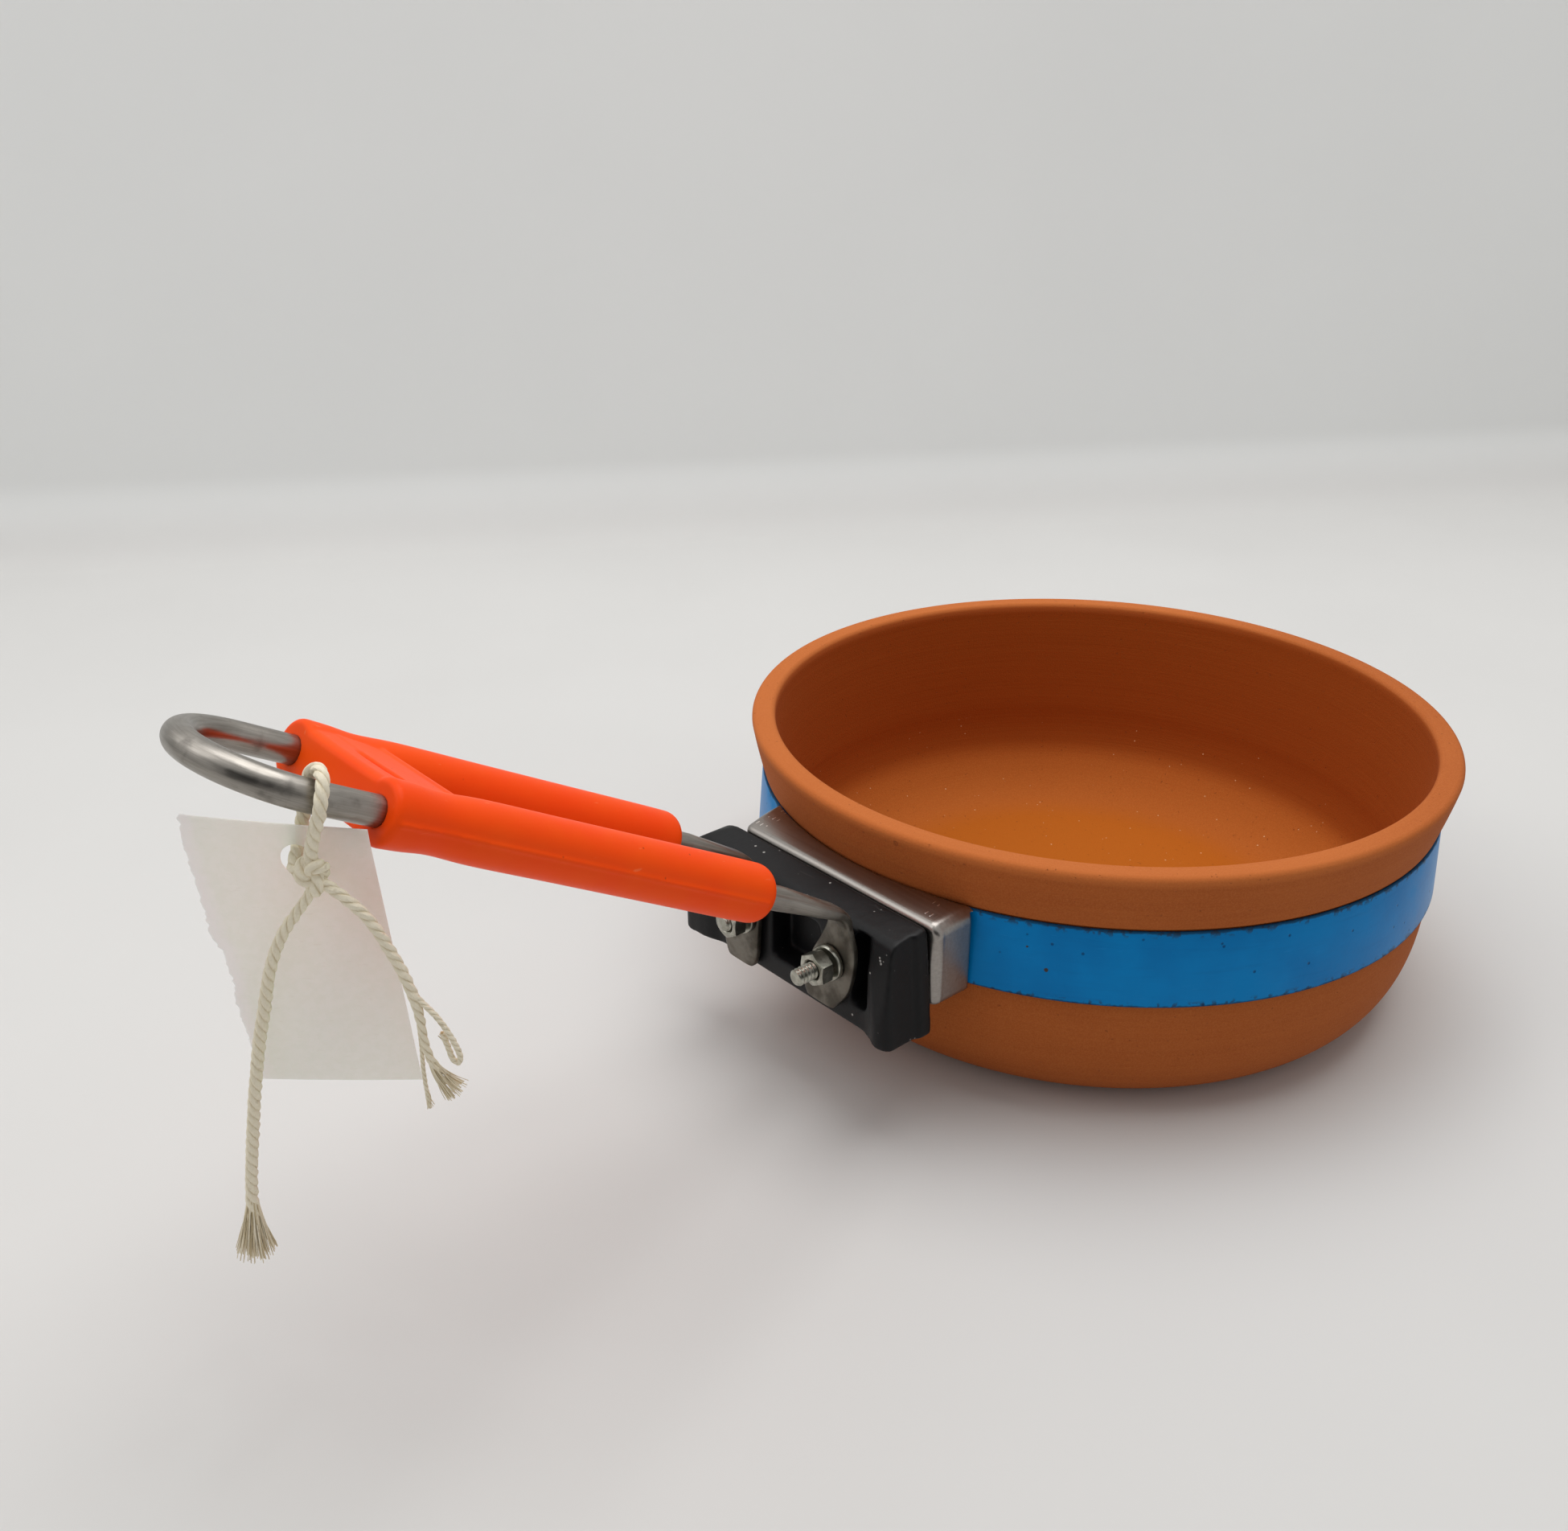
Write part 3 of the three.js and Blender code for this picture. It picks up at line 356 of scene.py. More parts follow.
def paper_look():
    look = Look("tag_paper", {"Roughness": 0.9, "Specular IOR Level": 0.2, "Subsurface Weight": 1.0,
                              "Subsurface Radius": (1.0, 1.0, 1.0), "Subsurface Scale": 0.002})
    pulp = look.noise(520, 4.0, 0.65)
    cloud = look.noise(60, 3.0)
    fibre = look.step(look.noise(1.0, 2.0, 0.5, look.stretch(500, 500, 2200)), 0.66, 0.74)
    base = look.mix(look.step(pulp, 0.35, 0.65), srgb(226, 238, 212), srgb(230, 241, 217))
    base = look.over(base, look.step(cloud, 0.45, 0.75), 0.25, srgb(222, 232, 204))
    base = look.over(base, fibre, 0.3, srgb(216, 224, 196))
    torn = look.plus(look.mark("torn"), look.times(look.noise(300), 2.0))
    base = look.over(base, look.step(torn, 4.2, 1.2), 0.7, srgb(250, 248, 240))
    look.colour(base)
    look.bump(pulp, 0.015)
    return look.material


def twine_look():
    look = Look("twine", {"Roughness": 0.95, "Specular IOR Level": 0.15})
    crest = look.mark("crest")
    fibre = look.noise(1900, 3.0, 0.65)
    # Painted shade: the colour darkens from the strands' crests into the grooves between them
    base = look.mix(look.step(crest, 0.7, 1.0), srgb(196, 178, 140), srgb(243, 234, 212))
    base = look.over(base, look.step(fibre, 0.45, 0.7), 0.3, srgb(222, 209, 180))
    flecks = look.step(look.noise(520, 1.0), 0.68, 0.74)
    base = look.over(base, flecks, 0.3, srgb(172, 156, 128))
    look.colour(base)
    look.bump(fibre, 0.06)
    return look.material


class Skin:
    """Rings of points in millimetres, joined into one mesh."""

    def __init__(self):
        self.points, self.faces, self.marks = [], [], {}

    def add(self, rings, ends=True, loop=False, **marks):
        rings = np.asarray(rings, float)
        count, sides = rings.shape[:2]
        base = len(self.points)
        self.points.extend(rings.reshape(-1, 3))
        for name, values in marks.items():
            self.marks.setdefault(name, []).extend(np.broadcast_to(values, (count, sides)).ravel())
        for one in range(count if loop else count - 1):
            low, high = base + one * sides, base + (one + 1) % count * sides
            for side in range(sides):
                after = (side + 1) % sides
                self.faces.append((low + side, low + after, high + after, high + side))
        if ends and not loop:
            self.faces.append(tuple(base + side for side in range(sides)))
            self.faces.append(tuple(base + (count - 1) * sides + side for side in range(sides)))

    def made(self, name):
        mesh = bpy.data.meshes.new(name)
        mesh.from_pydata([tuple(point) for point in np.array(self.points) * MM], [], self.faces)
        for mark, values in self.marks.items():
            mesh.attributes.new(mark, "FLOAT", "POINT").data.foreach_set("value", values)
        return shown(name, mesh)


def shown(name, mesh):
    """Links a mesh as a new piece, with its faces turned out and shaded smooth up to sharp edges."""
    work = bmesh.new()
    work.from_mesh(mesh)
    bmesh.ops.recalc_face_normals(work, faces=work.faces)
    work.to_mesh(mesh)
    work.free()
    mesh.shade_smooth()
    mesh.set_sharp_from_angle(angle=math.radians(38))
    piece = bpy.data.objects.new(name, mesh)
    scene.collection.objects.link(piece)
    return piece


def settle(piece):
    """Works a piece's modifiers into its mesh."""
    bpy.context.view_layer.update()
    graph = bpy.context.evaluated_depsgraph_get()
    mesh = bpy.data.meshes.new_from_object(piece.evaluated_get(graph))
    piece.modifiers.clear()
    piece.data = mesh
    mesh.shade_smooth()


def moulded(piece, voxel, rounds):
    """Joins a piece's closed shells into one skin and rounds its corners."""
    remesh = piece.modifiers.new("skin", "REMESH")
    remesh.mode = "VOXEL"
    remesh.voxel_size = voxel * MM
    smooth = piece.modifiers.new("round", "SMOOTH")
    smooth.factor = 0.5
    smooth.iterations = rounds
    settle(piece)


def dress(piece, look, body="pan", node=None):
    piece.data.materials.clear()
    piece.data.materials.append(look)
    if node:
        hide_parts(node)
    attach(piece, body)
    return piece


def add_camera():
    data = bpy.data.cameras.new("camera")
    data.sensor_width = SENSOR
    data.lens = SENSOR * FOCAL / PICTURE
    camera = bpy.data.objects.new("camera", data)
    camera.location = EYE
    camera.rotation_mode = "QUATERNION"
    camera.rotation_quaternion = Vector(AIM).to_track_quat("-Z", "Y")
    scene.collection.objects.link(camera)
    scene.camera = camera


def hung(points):
    """Moves points of the tag's own axes, along, back and up, to the frame in millimetres."""
    points = np.asarray(points, float)
    turn = np.array([[math.cos(TAG_TURN), -math.sin(TAG_TURN), 0], [math.sin(TAG_TURN), math.cos(TAG_TURN), 0],
                     [0, 0, 1]])
    return points @ turn.T + TAG_PLACE


def run_of(line):
    """The way along a line up to each of its points."""
    return np.concatenate([[0], np.cumsum(np.linalg.norm(np.diff(line, axis=0), axis=1))])


def smooth_line(points, step, loop=False):
    """Evenly spaced points on a smooth curve through the given ones."""
    points = np.asarray(points, float)
    if loop:
        points = np.vstack([points[-1], points, points[:2]])
    else:
        points = np.vstack([2 * points[0] - points[1], points, 2 * points[-1] - points[-2]])
    line = []
    shares = np.linspace(0, 1, 30, endpoint=False)[:, None]
    for a, b, c, d in zip(points, points[1:], points[2:], points[3:]):
        line.append(0.5 * (2 * b + (c - a) * shares + (2 * a - 5 * b + 4 * c - d) * shares ** 2
                           + (3 * b - 3 * c + d - a) * shares ** 3))
    line = np.vstack([*line, points[-2:-1]])
    run = run_of(line)
    even = np.linspace(0, run[-1], max(int(run[-1] / step), 3) + 1)
    return np.column_stack([np.interp(even, run, line[:, axis]) for axis in range(3)])


def carried(line):
    """Two side directions that follow a line without twisting."""
    tangents = unit(np.gradient(line, axis=0))
    side = np.cross(tangents[0], [0.31, 0.87, 0.38])
    sides = []
    for tangent in tangents:
        side = unit(side - tangent * (side @ tangent))
        sides.append(side)
    sides = np.array(sides)
    return sides, np.cross(tangents, sides)


def tube(line, radius, sides=8):
    """Rings around a line; radius is one number, one per point, or one per point and side."""
    across, up = carried(line)
    angles = 2 * np.pi * np.arange(sides) / sides
    ring = np.cos(angles)[None, :, None] * across[:, None] + np.sin(angles)[None, :, None] * up[:, None]
    radius = np.asarray(radius, float)
    radius = radius if radius.ndim == 2 else np.broadcast_to(radius.reshape(-1, 1), (len(line), sides))
    return line[:, None] + radius[:, :, None] * ring


def rope(skin, line, radius, pitch=6.2, loose=None, fan=0.0):
    """Three strands laid around each other; loose grows from 0 to 1 where they come apart by fan."""
    across, up = carried(line)
    run = run_of(line)
    radius = np.broadcast_to(np.asarray(radius, float), (len(line),))
    loose = np.zeros(len(line)) if loose is None else loose
    twist = 2 * np.pi / pitch * np.cumsum(np.gradient(run) * (1 - loose))
    sides = 14
    angles = 2 * np.pi * np.arange(sides) / sides
    for strand in range(3):
        turn = 2 * np.pi * strand / 3 - twist
        away = radius * 0.37 * (1 + 0.06 * np.sin(run * 1.7 + strand * 2.1)) + fan * loose
        centre = line + away[:, None] * (np.cos(turn)[:, None] * across + np.sin(turn)[:, None] * up)
        plies = 1 + 0.07 * np.cos(5 * angles[None, :] + 2 * np.pi * run[:, None] / 3.1)
        size = (radius * 0.67 * (1 - 0.7 * loose))[:, None] * plies
        rings = tube(centre, size, sides)
        crest = np.linalg.norm(rings - line[:, None], axis=2) / radius[:, None]
        skin.add(rings, crest=crest)


def yarns(skin, line, count, spread, thick=0.16):
    """Thin loose threads along a line, which fan out towards its end."""
    across, up = carried(line)
    shares = np.linspace(0, 1, len(line))[:, None]
    for _ in range(count):
        turn, reach = rng.uniform(0, 2 * np.pi), rng.uniform(0.92, 1.0)
        kept = max(int(len(line) * reach), 4)
        lean = math.cos(turn) * across + math.sin(turn) * up
        wave = unit(rng.normal(size=3)) * 0.2 * np.sin(shares * rng.uniform(3, 6))
        out = TWINE * 0.35 + spread * math.sqrt(rng.uniform(0.05, 1.0)) * shares ** 1.4
        thread = (line + lean * out + wave)[:kept]
        size = thick * rng.uniform(0.75, 1.25) * np.linspace(1, 0.6, kept)
        skin.add(tube(thread, size, 6), crest=np.full((kept, 6), rng.uniform(0.75, 1.0)))


LOOP_ROUTE = [
    (-2.0, -3.7, -9.4), (-1.7, -3.8, -7.2), (-0.6, -4.3, -3.8), (0.7, -4.7, -0.5), (1.2, -4.6, 1.7),
    (1.3, -2.7, 4.2), (0.05, 0.05, 4.95), (-1.85, 2.25, 3.75), (-3.2, 2.55, 1.0), (-3.9, 2.5, -2.5),
    (-4.7, 2.2, -6), (-5.3, 1.4, -8.4), (-5.4, 0, -9.5), (-5.4, -1.5, -10.4), (-5, -2.6, -10.9),
    (-3.4, -3.4, -11.2),
]
LONG_ROUTE = [
    (-2.2, -3.7, -12.6), (-3, -3.8, -14.8), (-5.2, -3.8, -17.8), (-7.8, -3.8, -21.4), (-9.7, -3.7, -25),
    (-11.6, -3.6, -30), (-13.2, -3.4, -36), (-14.9, -3.3, -42), (-16.4, -3.2, -48.4), (-17.9, -3.1, -55.2),
    (-19.1, -3, -61.5), (-20.2, -3, -67.4), (-21.1, -3, -73), (-21.7, -3, -78), (-22.2, -3, -83),
    (-22.6, -3, -88.5),
]
SHORT_ROUTE = [
    (-1.4, -3.8, -12), (0.3, -4, -13.2), (2.8, -4.1, -15.4), (5.2, -4, -18.2), (7, -3.8, -21.6),
    (8.5, -3.6, -25.4), (9.7, -3.5, -28.6), (10.6, -3.4, -31.8), (11.4, -3.3, -35.4), (11.8, -3.3, -39),
    (11.9, -3.2, -42), (12.3, -3.2, -45.2), (13.4, -3.1, -48.5), (15, -3, -51.4), (16.6, -3, -53.4),
]
HOOKED_STRAND = [
    (10.9, -3.3, -33), (12.6, -3.5, -35.3), (14.4, -3.6, -37.6), (16, -3.6, -40.6), (17.2, -3.5, -43.8),
    (17.6, -3.3, -46), (17.1, -3.1, -47.3), (16.2, -3, -46.4), (15.7, -3, -44.2), (15, -3.1, -41.3),
]
THIN_STRAND = [
    (11.5, -3, -37), (11.3, -2.8, -40.5), (11.2, -2.6, -44.5), (11, -2.5, -49), (11.1, -2.5, -53),
    (11.3, -2.5, -57),
]
KNOT = np.array([-2.0, -3.6, -11.2])


def add_twine(look):
    """The cord's three stretches, its knot and its frayed ends."""
    knot = Skin()
    turns = np.linspace(0, 2 * np.pi, 72, endpoint=False)
    path = np.column_stack([0.56 * (np.sin(turns) + 2 * np.sin(2 * turns)), 1.05 * np.sin(3 * turns),
                            0.9 * (np.cos(turns) - 2 * np.cos(2 * turns))])
    rope(knot, hung(smooth_line(path, 0.25, loop=True) + KNOT), 1.12)
    knot = dress(knot.made("twine_knot_look"), look, "tag", "twine_knot")
    for node, route, far_end in [("twine_loop", LOOP_ROUTE, "knot"), ("twine_long_tail", LONG_ROUTE, "bare"),
                                 ("twine_short_tail", SHORT_ROUTE, "bare")]:
        line = hung(smooth_line(route, 0.25))
        run = run_of(line)
        left = run[-1] - run
        skin, ends = Skin(), Skin()
        with_pieces = [knot]
        if node == "twine_loop":
            rope(skin, line, TWINE * 1.02)
        elif node == "twine_long_tail":
            thick = TWINE * np.interp(run, [2, 26], [0.8, 1])
            rope(skin, line, thick, loose=np.clip(1 - left / 15, 0, 1), fan=0.9)
            yarns(ends, line[left < 15.5], 180, 3.4, 0.13)
        else:
            thick = TWINE * np.interp(left, [14, 20], [0.66, 0.88])
            rope(skin, line, thick, loose=np.clip(1 - left / 8, 0, 1), fan=0.8)
            yarns(ends, line[left < 9], 46, 2.2, 0.12)
            for strand, radius, brush in [(HOOKED_STRAND, 0.5, 8), (THIN_STRAND, 0.36, 5)]:
                strand = hung(smooth_line(strand, 0.25))
                rope(ends, strand, radius, 3.4)
                yarns(ends, strand[-14:], brush, 0.5, 0.1)
        piece = dress(skin.made(node + "_look"), look, "tag", node)
        if node != "twine_loop":
            with_pieces = [dress(ends.made(node + "_ends"), look, "tag")]


def circle(radius, sides, start=0.0):
    angles = start + 2 * np.pi * np.arange(sides) / sides
    return np.column_stack([radius * np.cos(angles), radius * np.sin(angles)])


def bowl_curve(floor_r, floor_z, wall_r, wall_z, power, steps):
    angles = np.linspace(0, np.pi / 2, steps + 1)
    out = np.sin(angles) ** (2 / power)
    up = 1 - np.maximum(np.cos(angles), 0) ** (2 / power)
    return np.column_stack([floor_r + (wall_r - floor_r) * out, floor_z + (wall_z - floor_z) * up])


def arc(centre_r, centre_z, radius, start, end, steps):
    angles = np.radians(np.linspace(start, end, steps + 1))
    return np.column_stack([centre_r + radius * np.cos(angles), centre_z + radius * np.sin(angles)])


def add_bowl(look):
    lip = HEIGHT - LIP_ROUND
    seat = BAND_RADIUS - BAND_SHEET - 0.3
    wall = seat + BAND_FLARE / 2
    outside = bowl_curve(FOOT_RADIUS, 0, wall, BAND_LOW, 2.6, 44)
    inside = bowl_curve(FLOOR_RADIUS, FLOOR, wall - WALL, BAND_LOW, 2.4, 40)[::-1]
    collar = np.linspace([COLLAR_RADIUS, COLLAR_LOW + 0.5], [RIM, lip], 12)
    collar[:, 0] += 0.25 * np.sin(np.linspace(0, np.pi, 12)) * 0.6
    floor = np.linspace([FLOOR_RADIUS - 1, FLOOR], [1, FLOOR], 14)
    under = np.linspace([seat + 0.55, 34], [seat - BAND_FLARE / 2, COLLAR_LOW], 10)
    profile = np.vstack([
        [[1, 0], [40, 0], [62, 0]], outside, under,
        [[COLLAR_RADIUS - 0.5, COLLAR_LOW], [COLLAR_RADIUS - 0.15, COLLAR_LOW + 0.15]], collar[:-1],
        arc(RIM - LIP_ROUND, lip, LIP_ROUND, 0, 90, 8),
        arc(RIM - LIP_WIDTH + LIP_ROUND, lip, LIP_ROUND, 90, 180, 8),
        np.linspace([84.1, 62.5], [81.5, 34], 20), inside, floor,
    ])
    sides = 240
    ring = circle(1, sides)
    rings = [np.column_stack([ring * r, np.full(sides, z)]) for r, z in profile]
    skin = Skin()
    inner = (np.arange(len(profile)) > len(profile) - len(floor) - len(inside) - 24)[:, None]
    skin.add(rings, inner=inner)
    dress(skin.made("clay_bowl_look"), look, node="clay_bowl")


def strip_ring(point, outward, low, high, flared):
    """A cross-section of thin strip with rounded edges."""
    half, edge = BAND_SHEET / 2, 0.3
    corners = []
    for side, z, start in [(1, high, 0), (-1, high, 90), (-1, low, 180), (1, low, 270)]:
        for angle in np.radians(np.linspace(start, start + 90, 4)):
            across = side * (half - edge) + edge * math.cos(angle)
            up = z - math.copysign(edge, z - (low + high) / 2) + edge * math.sin(angle)
            corners.append((across, up))
    middle = (BAND_LOW + BAND_TOP) / 2
    slope = BAND_FLARE / (BAND_TOP - BAND_LOW) * flared
    return [[*(point + outward * (across + slope * (middle - up))), up] for across, up in corners]


def add_band(look):
    centre = BAND_RADIUS - BAND_SHEET / 2
    last = math.pi - math.asin(BAND_END / centre)
    angles = np.linspace(last, -last, 300)
    ring = centre * np.column_stack([np.cos(angles), np.sin(angles)])
    turn = [-LUG_OUT, LUG_FROM]
    bend = np.array([[-LUG_OUT, LUG_FROM - 1.5], turn, *np.linspace(turn, ring[0], 6)[1:-1]])
    plan = np.vstack([bend, ring, (bend * [1, -1])[::-1]])
    ahead = unit(np.gradient(plan, axis=0))
    rings = []
    for point, (dx, dy) in zip(plan, ahead):
        outward = np.array([-dy, dx])
        narrow = point[0] < 0 and abs(point[1]) < BAND_END + 1
        low, high = (LUG_LOW, LUG_TOP) if narrow else (BAND_LOW, BAND_TOP)
        rings.append(strip_ring(point, outward, low, high, 0 if narrow else 1))
    skin = Skin()
    skin.add(rings)
    for y, z, _ in BOLTS.values():
        side = math.copysign(1, y)
        square = circle(1, 48, math.radians(3.75))
        square = square / np.abs(square).max(axis=1, keepdims=True)
        edge = np.column_stack([np.clip(y + square[:, 0] * 6.25, *sorted([side * LUG_TO, side * LUG_FROM])),
                                (LUG_LOW + LUG_TOP) / 2 + square[:, 1] * 7])
        hole = circle(HOLE_RADIUS, 48, math.radians(3.75)) + [y, z]
        outs = (-LUG_OUT - 0.4, -LUG_OUT + 0.4)
        loop = [np.column_stack([np.full(48, x), flat]) for x, flat in
                [(outs[0], edge), (outs[1], edge), (outs[1], hole), (outs[0], hole)]]
        skin.add(loop, loop=True)
    dress(skin.made("clamp_band_look"), look, node="clamp_band")


def from_cad(node, voxel, rounds):
    """A finer skin over a CAD solid's shape."""
    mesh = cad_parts[node].data.copy()
    work = bmesh.new()
    work.from_mesh(mesh)
    bmesh.ops.remove_doubles(work, verts=work.verts, dist=1e-6)
    work.to_mesh(mesh)
    work.free()
    piece = shown(node + "_look", mesh)
    moulded(piece, voxel, rounds)
    return piece


def rounded(a, b, reach_a, reach_b, radius):
    """Turns the square corner at (reach_a, reach_b) into a round one and leaves the rest as it is."""
    u, v = np.clip((a - reach_a) / radius + 1, 0, None), np.clip((b - reach_b) / radius + 1, 0, None)
    small_u, small_v = np.minimum(u, 1), np.minimum(v, 1)
    return (a + radius * u * (np.sqrt(1 - small_v ** 2 / 2) - 1),
            b + radius * v * (np.sqrt(1 - small_u ** 2 / 2) - 1))


def add_saddle(look):
    """The folded tray: its near side stands square to the block, with a rounder front fold and top fold."""
    piece = from_cad("saddle_bracket", 0.24, 4)
    points = np.empty(len(piece.data.vertices) * 3)
    piece.data.vertices.foreach_get("co", points)
    x, y, z = points.reshape(-1, 3).T / MM
    near = np.clip((-20 - y) / 7, 0, 1)
    near = near * near * (3 - 2 * near)
    depth = np.clip((x + SADDLE_OUT) / SADDLE_DEPTH, 0, 1)
    y = y - near * (SADDLE_SIDE - SADDLE_NEAR - SADDLE_SPREAD * depth)
    out, side, up = -x, -y, z
    front = rounded(out, side, SADDLE_OUT, SADDLE_SIDE, 2.8)
    share = np.clip((49 - z) / 7, 0, 1)
    out, side = out + (front[0] - out) * share, side + (front[1] - side) * share
    side, up = rounded(side, up, SADDLE_SIDE, SADDLE_TOP, 3.4)
    camber = np.clip((out - SADDLE_OUT + 10) / 10, 0, 1) ** 2
    up = up - 0.8 * camber * np.clip((z - 47) / 4, 0, 1)
    piece.data.vertices.foreach_set("co", (np.column_stack([-out, -side, up]) * MM).ravel())
    piece.data.update()
    dress(piece, look, node="saddle_bracket")


def wire_ring(centre, sideways, normal, half_width, half_thickness, sides=40):
    flatness = min(max(1 - half_thickness / half_width, 0), 1)
    power = 1 - 0.75 * flatness
    angles = 2 * np.pi * (np.arange(sides) + 0.5) / sides
    across = np.sign(np.cos(angles)) * np.abs(np.cos(angles)) ** power * half_width
    through = np.sign(np.sin(angles)) * np.abs(np.sin(angles)) ** power * half_thickness
    return centre + across[:, None] * sideways + through[:, None] * normal


def leg_rings(side):
    """One half of the wire, a flat leaning tab, a bend and a leg that grows round: rings and their flatness."""
    length, shape = TABS[side]
    sideways = np.array([0.0, side, 0.0])
    turn = math.pi / 2 - TILT
    tangent = BEND_RADIUS * math.tan(turn / 2)
    top, tip = CORNER[2] - tangent, CORNER[2] - length
    rings, flats = [], []
    start = CORNER + sideways * LEG_SIDE
    for share, width, inwards in smooth_line(shape, 0.03):
        centre = np.array([start[0], start[1], tip + (top - tip) * share]) - sideways * inwards * TAB_HALF
        rings.append(wire_ring(centre, sideways, np.array([-1.0, 0, 0]), TAB_HALF * width, TAB_THICK))
        flats.append(1.0)
    bend_length = BEND_RADIUS * turn
    whole = bend_length + FLATTEN
    middle = np.array([start[0] - BEND_RADIUS, start[1], top])
    _, top_width, top_lean = shape[-1]
    offset = -sideways * top_lean * TAB_HALF

    def sizes(along):
        wide = TAB_HALF * top_width
        return wide + (ROD - wide) * along, TAB_THICK + (ROD - TAB_THICK) * along

    for share in np.linspace(0, 1, 15)[1:]:
        radial = np.array([math.cos(turn * share), 0, math.sin(turn * share)])
        along = bend_length * share / whole
        rings.append(wire_ring(middle + radial * BEND_RADIUS + offset, sideways, -radial, *sizes(along)))
        flats.append(1 - along)
    for share in np.linspace(0, 1, 17)[1:]:
        eased = share * share * (3 - 2 * share)
        along = (bend_length + FLATTEN * share) / whole
        centre = start + LEG * (tangent + FLATTEN * share) + offset * (1 - eased)
        rings.append(wire_ring(centre, sideways, -LEG_UP, *sizes(along)))
        flats.append((1 - along) * 0.6)
    return rings, flats


def bar(radius, start, end, y, z, sides=40):
    ring = circle(radius, sides) + [y, z]
    return [np.column_stack([np.full(sides, -out), ring]) for out in (start, end)]


def add_handle(look):
    near, near_flat = leg_rings(-1)
    far, far_flat = leg_rings(1)
    centre = CORNER + LEG * LEG_LENGTH
    bend = []
    straight = np.linspace(0, 1, 40)[1:-1]
    leg_from = FLATTEN + BEND_RADIUS * math.tan((math.pi / 2 - TILT) / 2)
    for side, rings in ((-1, near), (1, far)):
        for share in straight:
            along = leg_from + (LEG_LENGTH - leg_from) * share
            middle = CORNER + np.array([0, side * LEG_SIDE, 0]) + LEG * along
            rings.append(wire_ring(middle, np.array([0.0, side, 0.0]), -LEG_UP, ROD, ROD))
    for angle in np.linspace(0, np.pi, 61):
        radial = np.array([0, -math.cos(angle), 0]) + LEG * math.sin(angle)
        bend.append(wire_ring(centre + radial * LEG_SIDE, radial, -LEG_UP, ROD, ROD))
    rings = np.array([*near, *bend, *far[::-1]])
    bare = [0.0] * len(straight)
    flat = np.array([*near_flat, *bare, *[0.0] * len(bend), *bare, *far_flat[::-1]])
    along = run_of(rings.mean(axis=1))
    around = 2 * np.pi * (np.arange(rings.shape[1]) + 0.5) / rings.shape[1]
    skin = Skin()
    skin.add(rings, along=along[:, None], around=around[None, :], flat=flat[:, None])
    piece = skin.made("handle_rod_look")
    cutter = Skin()
    for y, z, _ in BOLTS.values():
        cutter.add(bar(HOLE_RADIUS, 104, 111, y, z))
    cutter = cutter.made("cutter")
    cut = piece.modifiers.new("holes", "BOOLEAN")
    cut.object = cutter
    cut.solver = "EXACT"
    settle(piece)
    bpy.data.objects.remove(cutter)
    piece.data.set_sharp_from_angle(angle=math.radians(50))
    dress(piece, look, node="handle_rod")


def on_handle(points):
    """Moves points from the handle's own axes, along, across and up, to the frame in millimetres."""
    points = np.asarray(points, float)
    return CORNER + points[..., :1] * LEG + points[..., 1:2] * np.array([0, -1.0, 0]) + points[..., 2:] * LEG_UP


def add_grip(look):
    start, length, bore, sleeve, swollen, waist = 25.5, 92.1, 2.6, 5.85, 6.2, 5.35
    nose, edge_round = 3.2, 1.2
    shape = smooth_line([(swollen, nose, 0), (swollen, 11, 0), (6.02, 32, 0), (sleeve, 55, 0), (5.75, 72, 0),
                         (waist, 81, 0), (5.7, 86.6, 0), (sleeve, length - edge_round, 0)], 1.2)[:, :2]
    outer = np.vstack([arc(swollen - nose, nose, nose, -90, 0, 6)[:-1], shape,
                       arc(sleeve - edge_round, length - edge_round, edge_round, 0, 90, 4)[1:]])
    inner = np.linspace([bore, length], [bore, 0], 40)
    profile = np.vstack([[[bore + 0.05, 0]], outer, inner])
    skin = Skin()
    ring = circle(1, 64)
    for side in (-LEG_SIDE, LEG_SIDE):
        rings = [on_handle(np.column_stack([np.full(64, start + along), ring[:, 0] * r + side, ring[:, 1] * r]))
                 for r, along in profile]
        skin.add(rings, loop=True)
        ridge = [(start + along, side + math.copysign(r - 0.1, side), 0.0) for r, along in shape]
        skin.add(tube(on_handle(ridge), 0.5, 12))
    end = start + length
    rib = end - 16.1
    web = []
    for y in np.linspace(-12.6, 12.6, 43):
        crest = 4.95 + 0.15 * (y / 12.2) ** 2
        slit = crest - 1.8 * float(np.interp(y, [-4, 1, 10.8, 11.8], [0, 1, 1, 0]))
        edge = [(rib, -4.9), (end, -4.9), (end, crest - 1.3), (end - 0.35, crest - 0.45), (end - 1.2, crest),
                (end - 4.3, crest), (end - 4.45, slit - 0.02), (end - 5.25, slit - 0.02),
                (end - 5.4, crest + 0.1), (rib + 2.0, 4.5), (rib + 1.4, 4.85), (rib + 0.5, 4.75), (rib, 4.0)]
        web.append(on_handle([(along, y, up) for along, up in edge]))
    skin.add(web)
    piece = skin.made("grip_look")
    moulded(piece, 0.3, 6)
    dress(piece, look, node="grip")


def hexagon(across_flats, sides=48):
    angles = 2 * np.pi * np.arange(sides) / sides
    reach = across_flats / 2 / np.cos((angles + np.pi / 6) % (np.pi / 3) - np.pi / 6)
    return reach, angles


def outward_ring(out, reach, angles, y, z):
    out = np.broadcast_to(out, angles.shape)
    return np.column_stack([-out, y + reach * np.cos(angles), z + reach * np.sin(angles)])


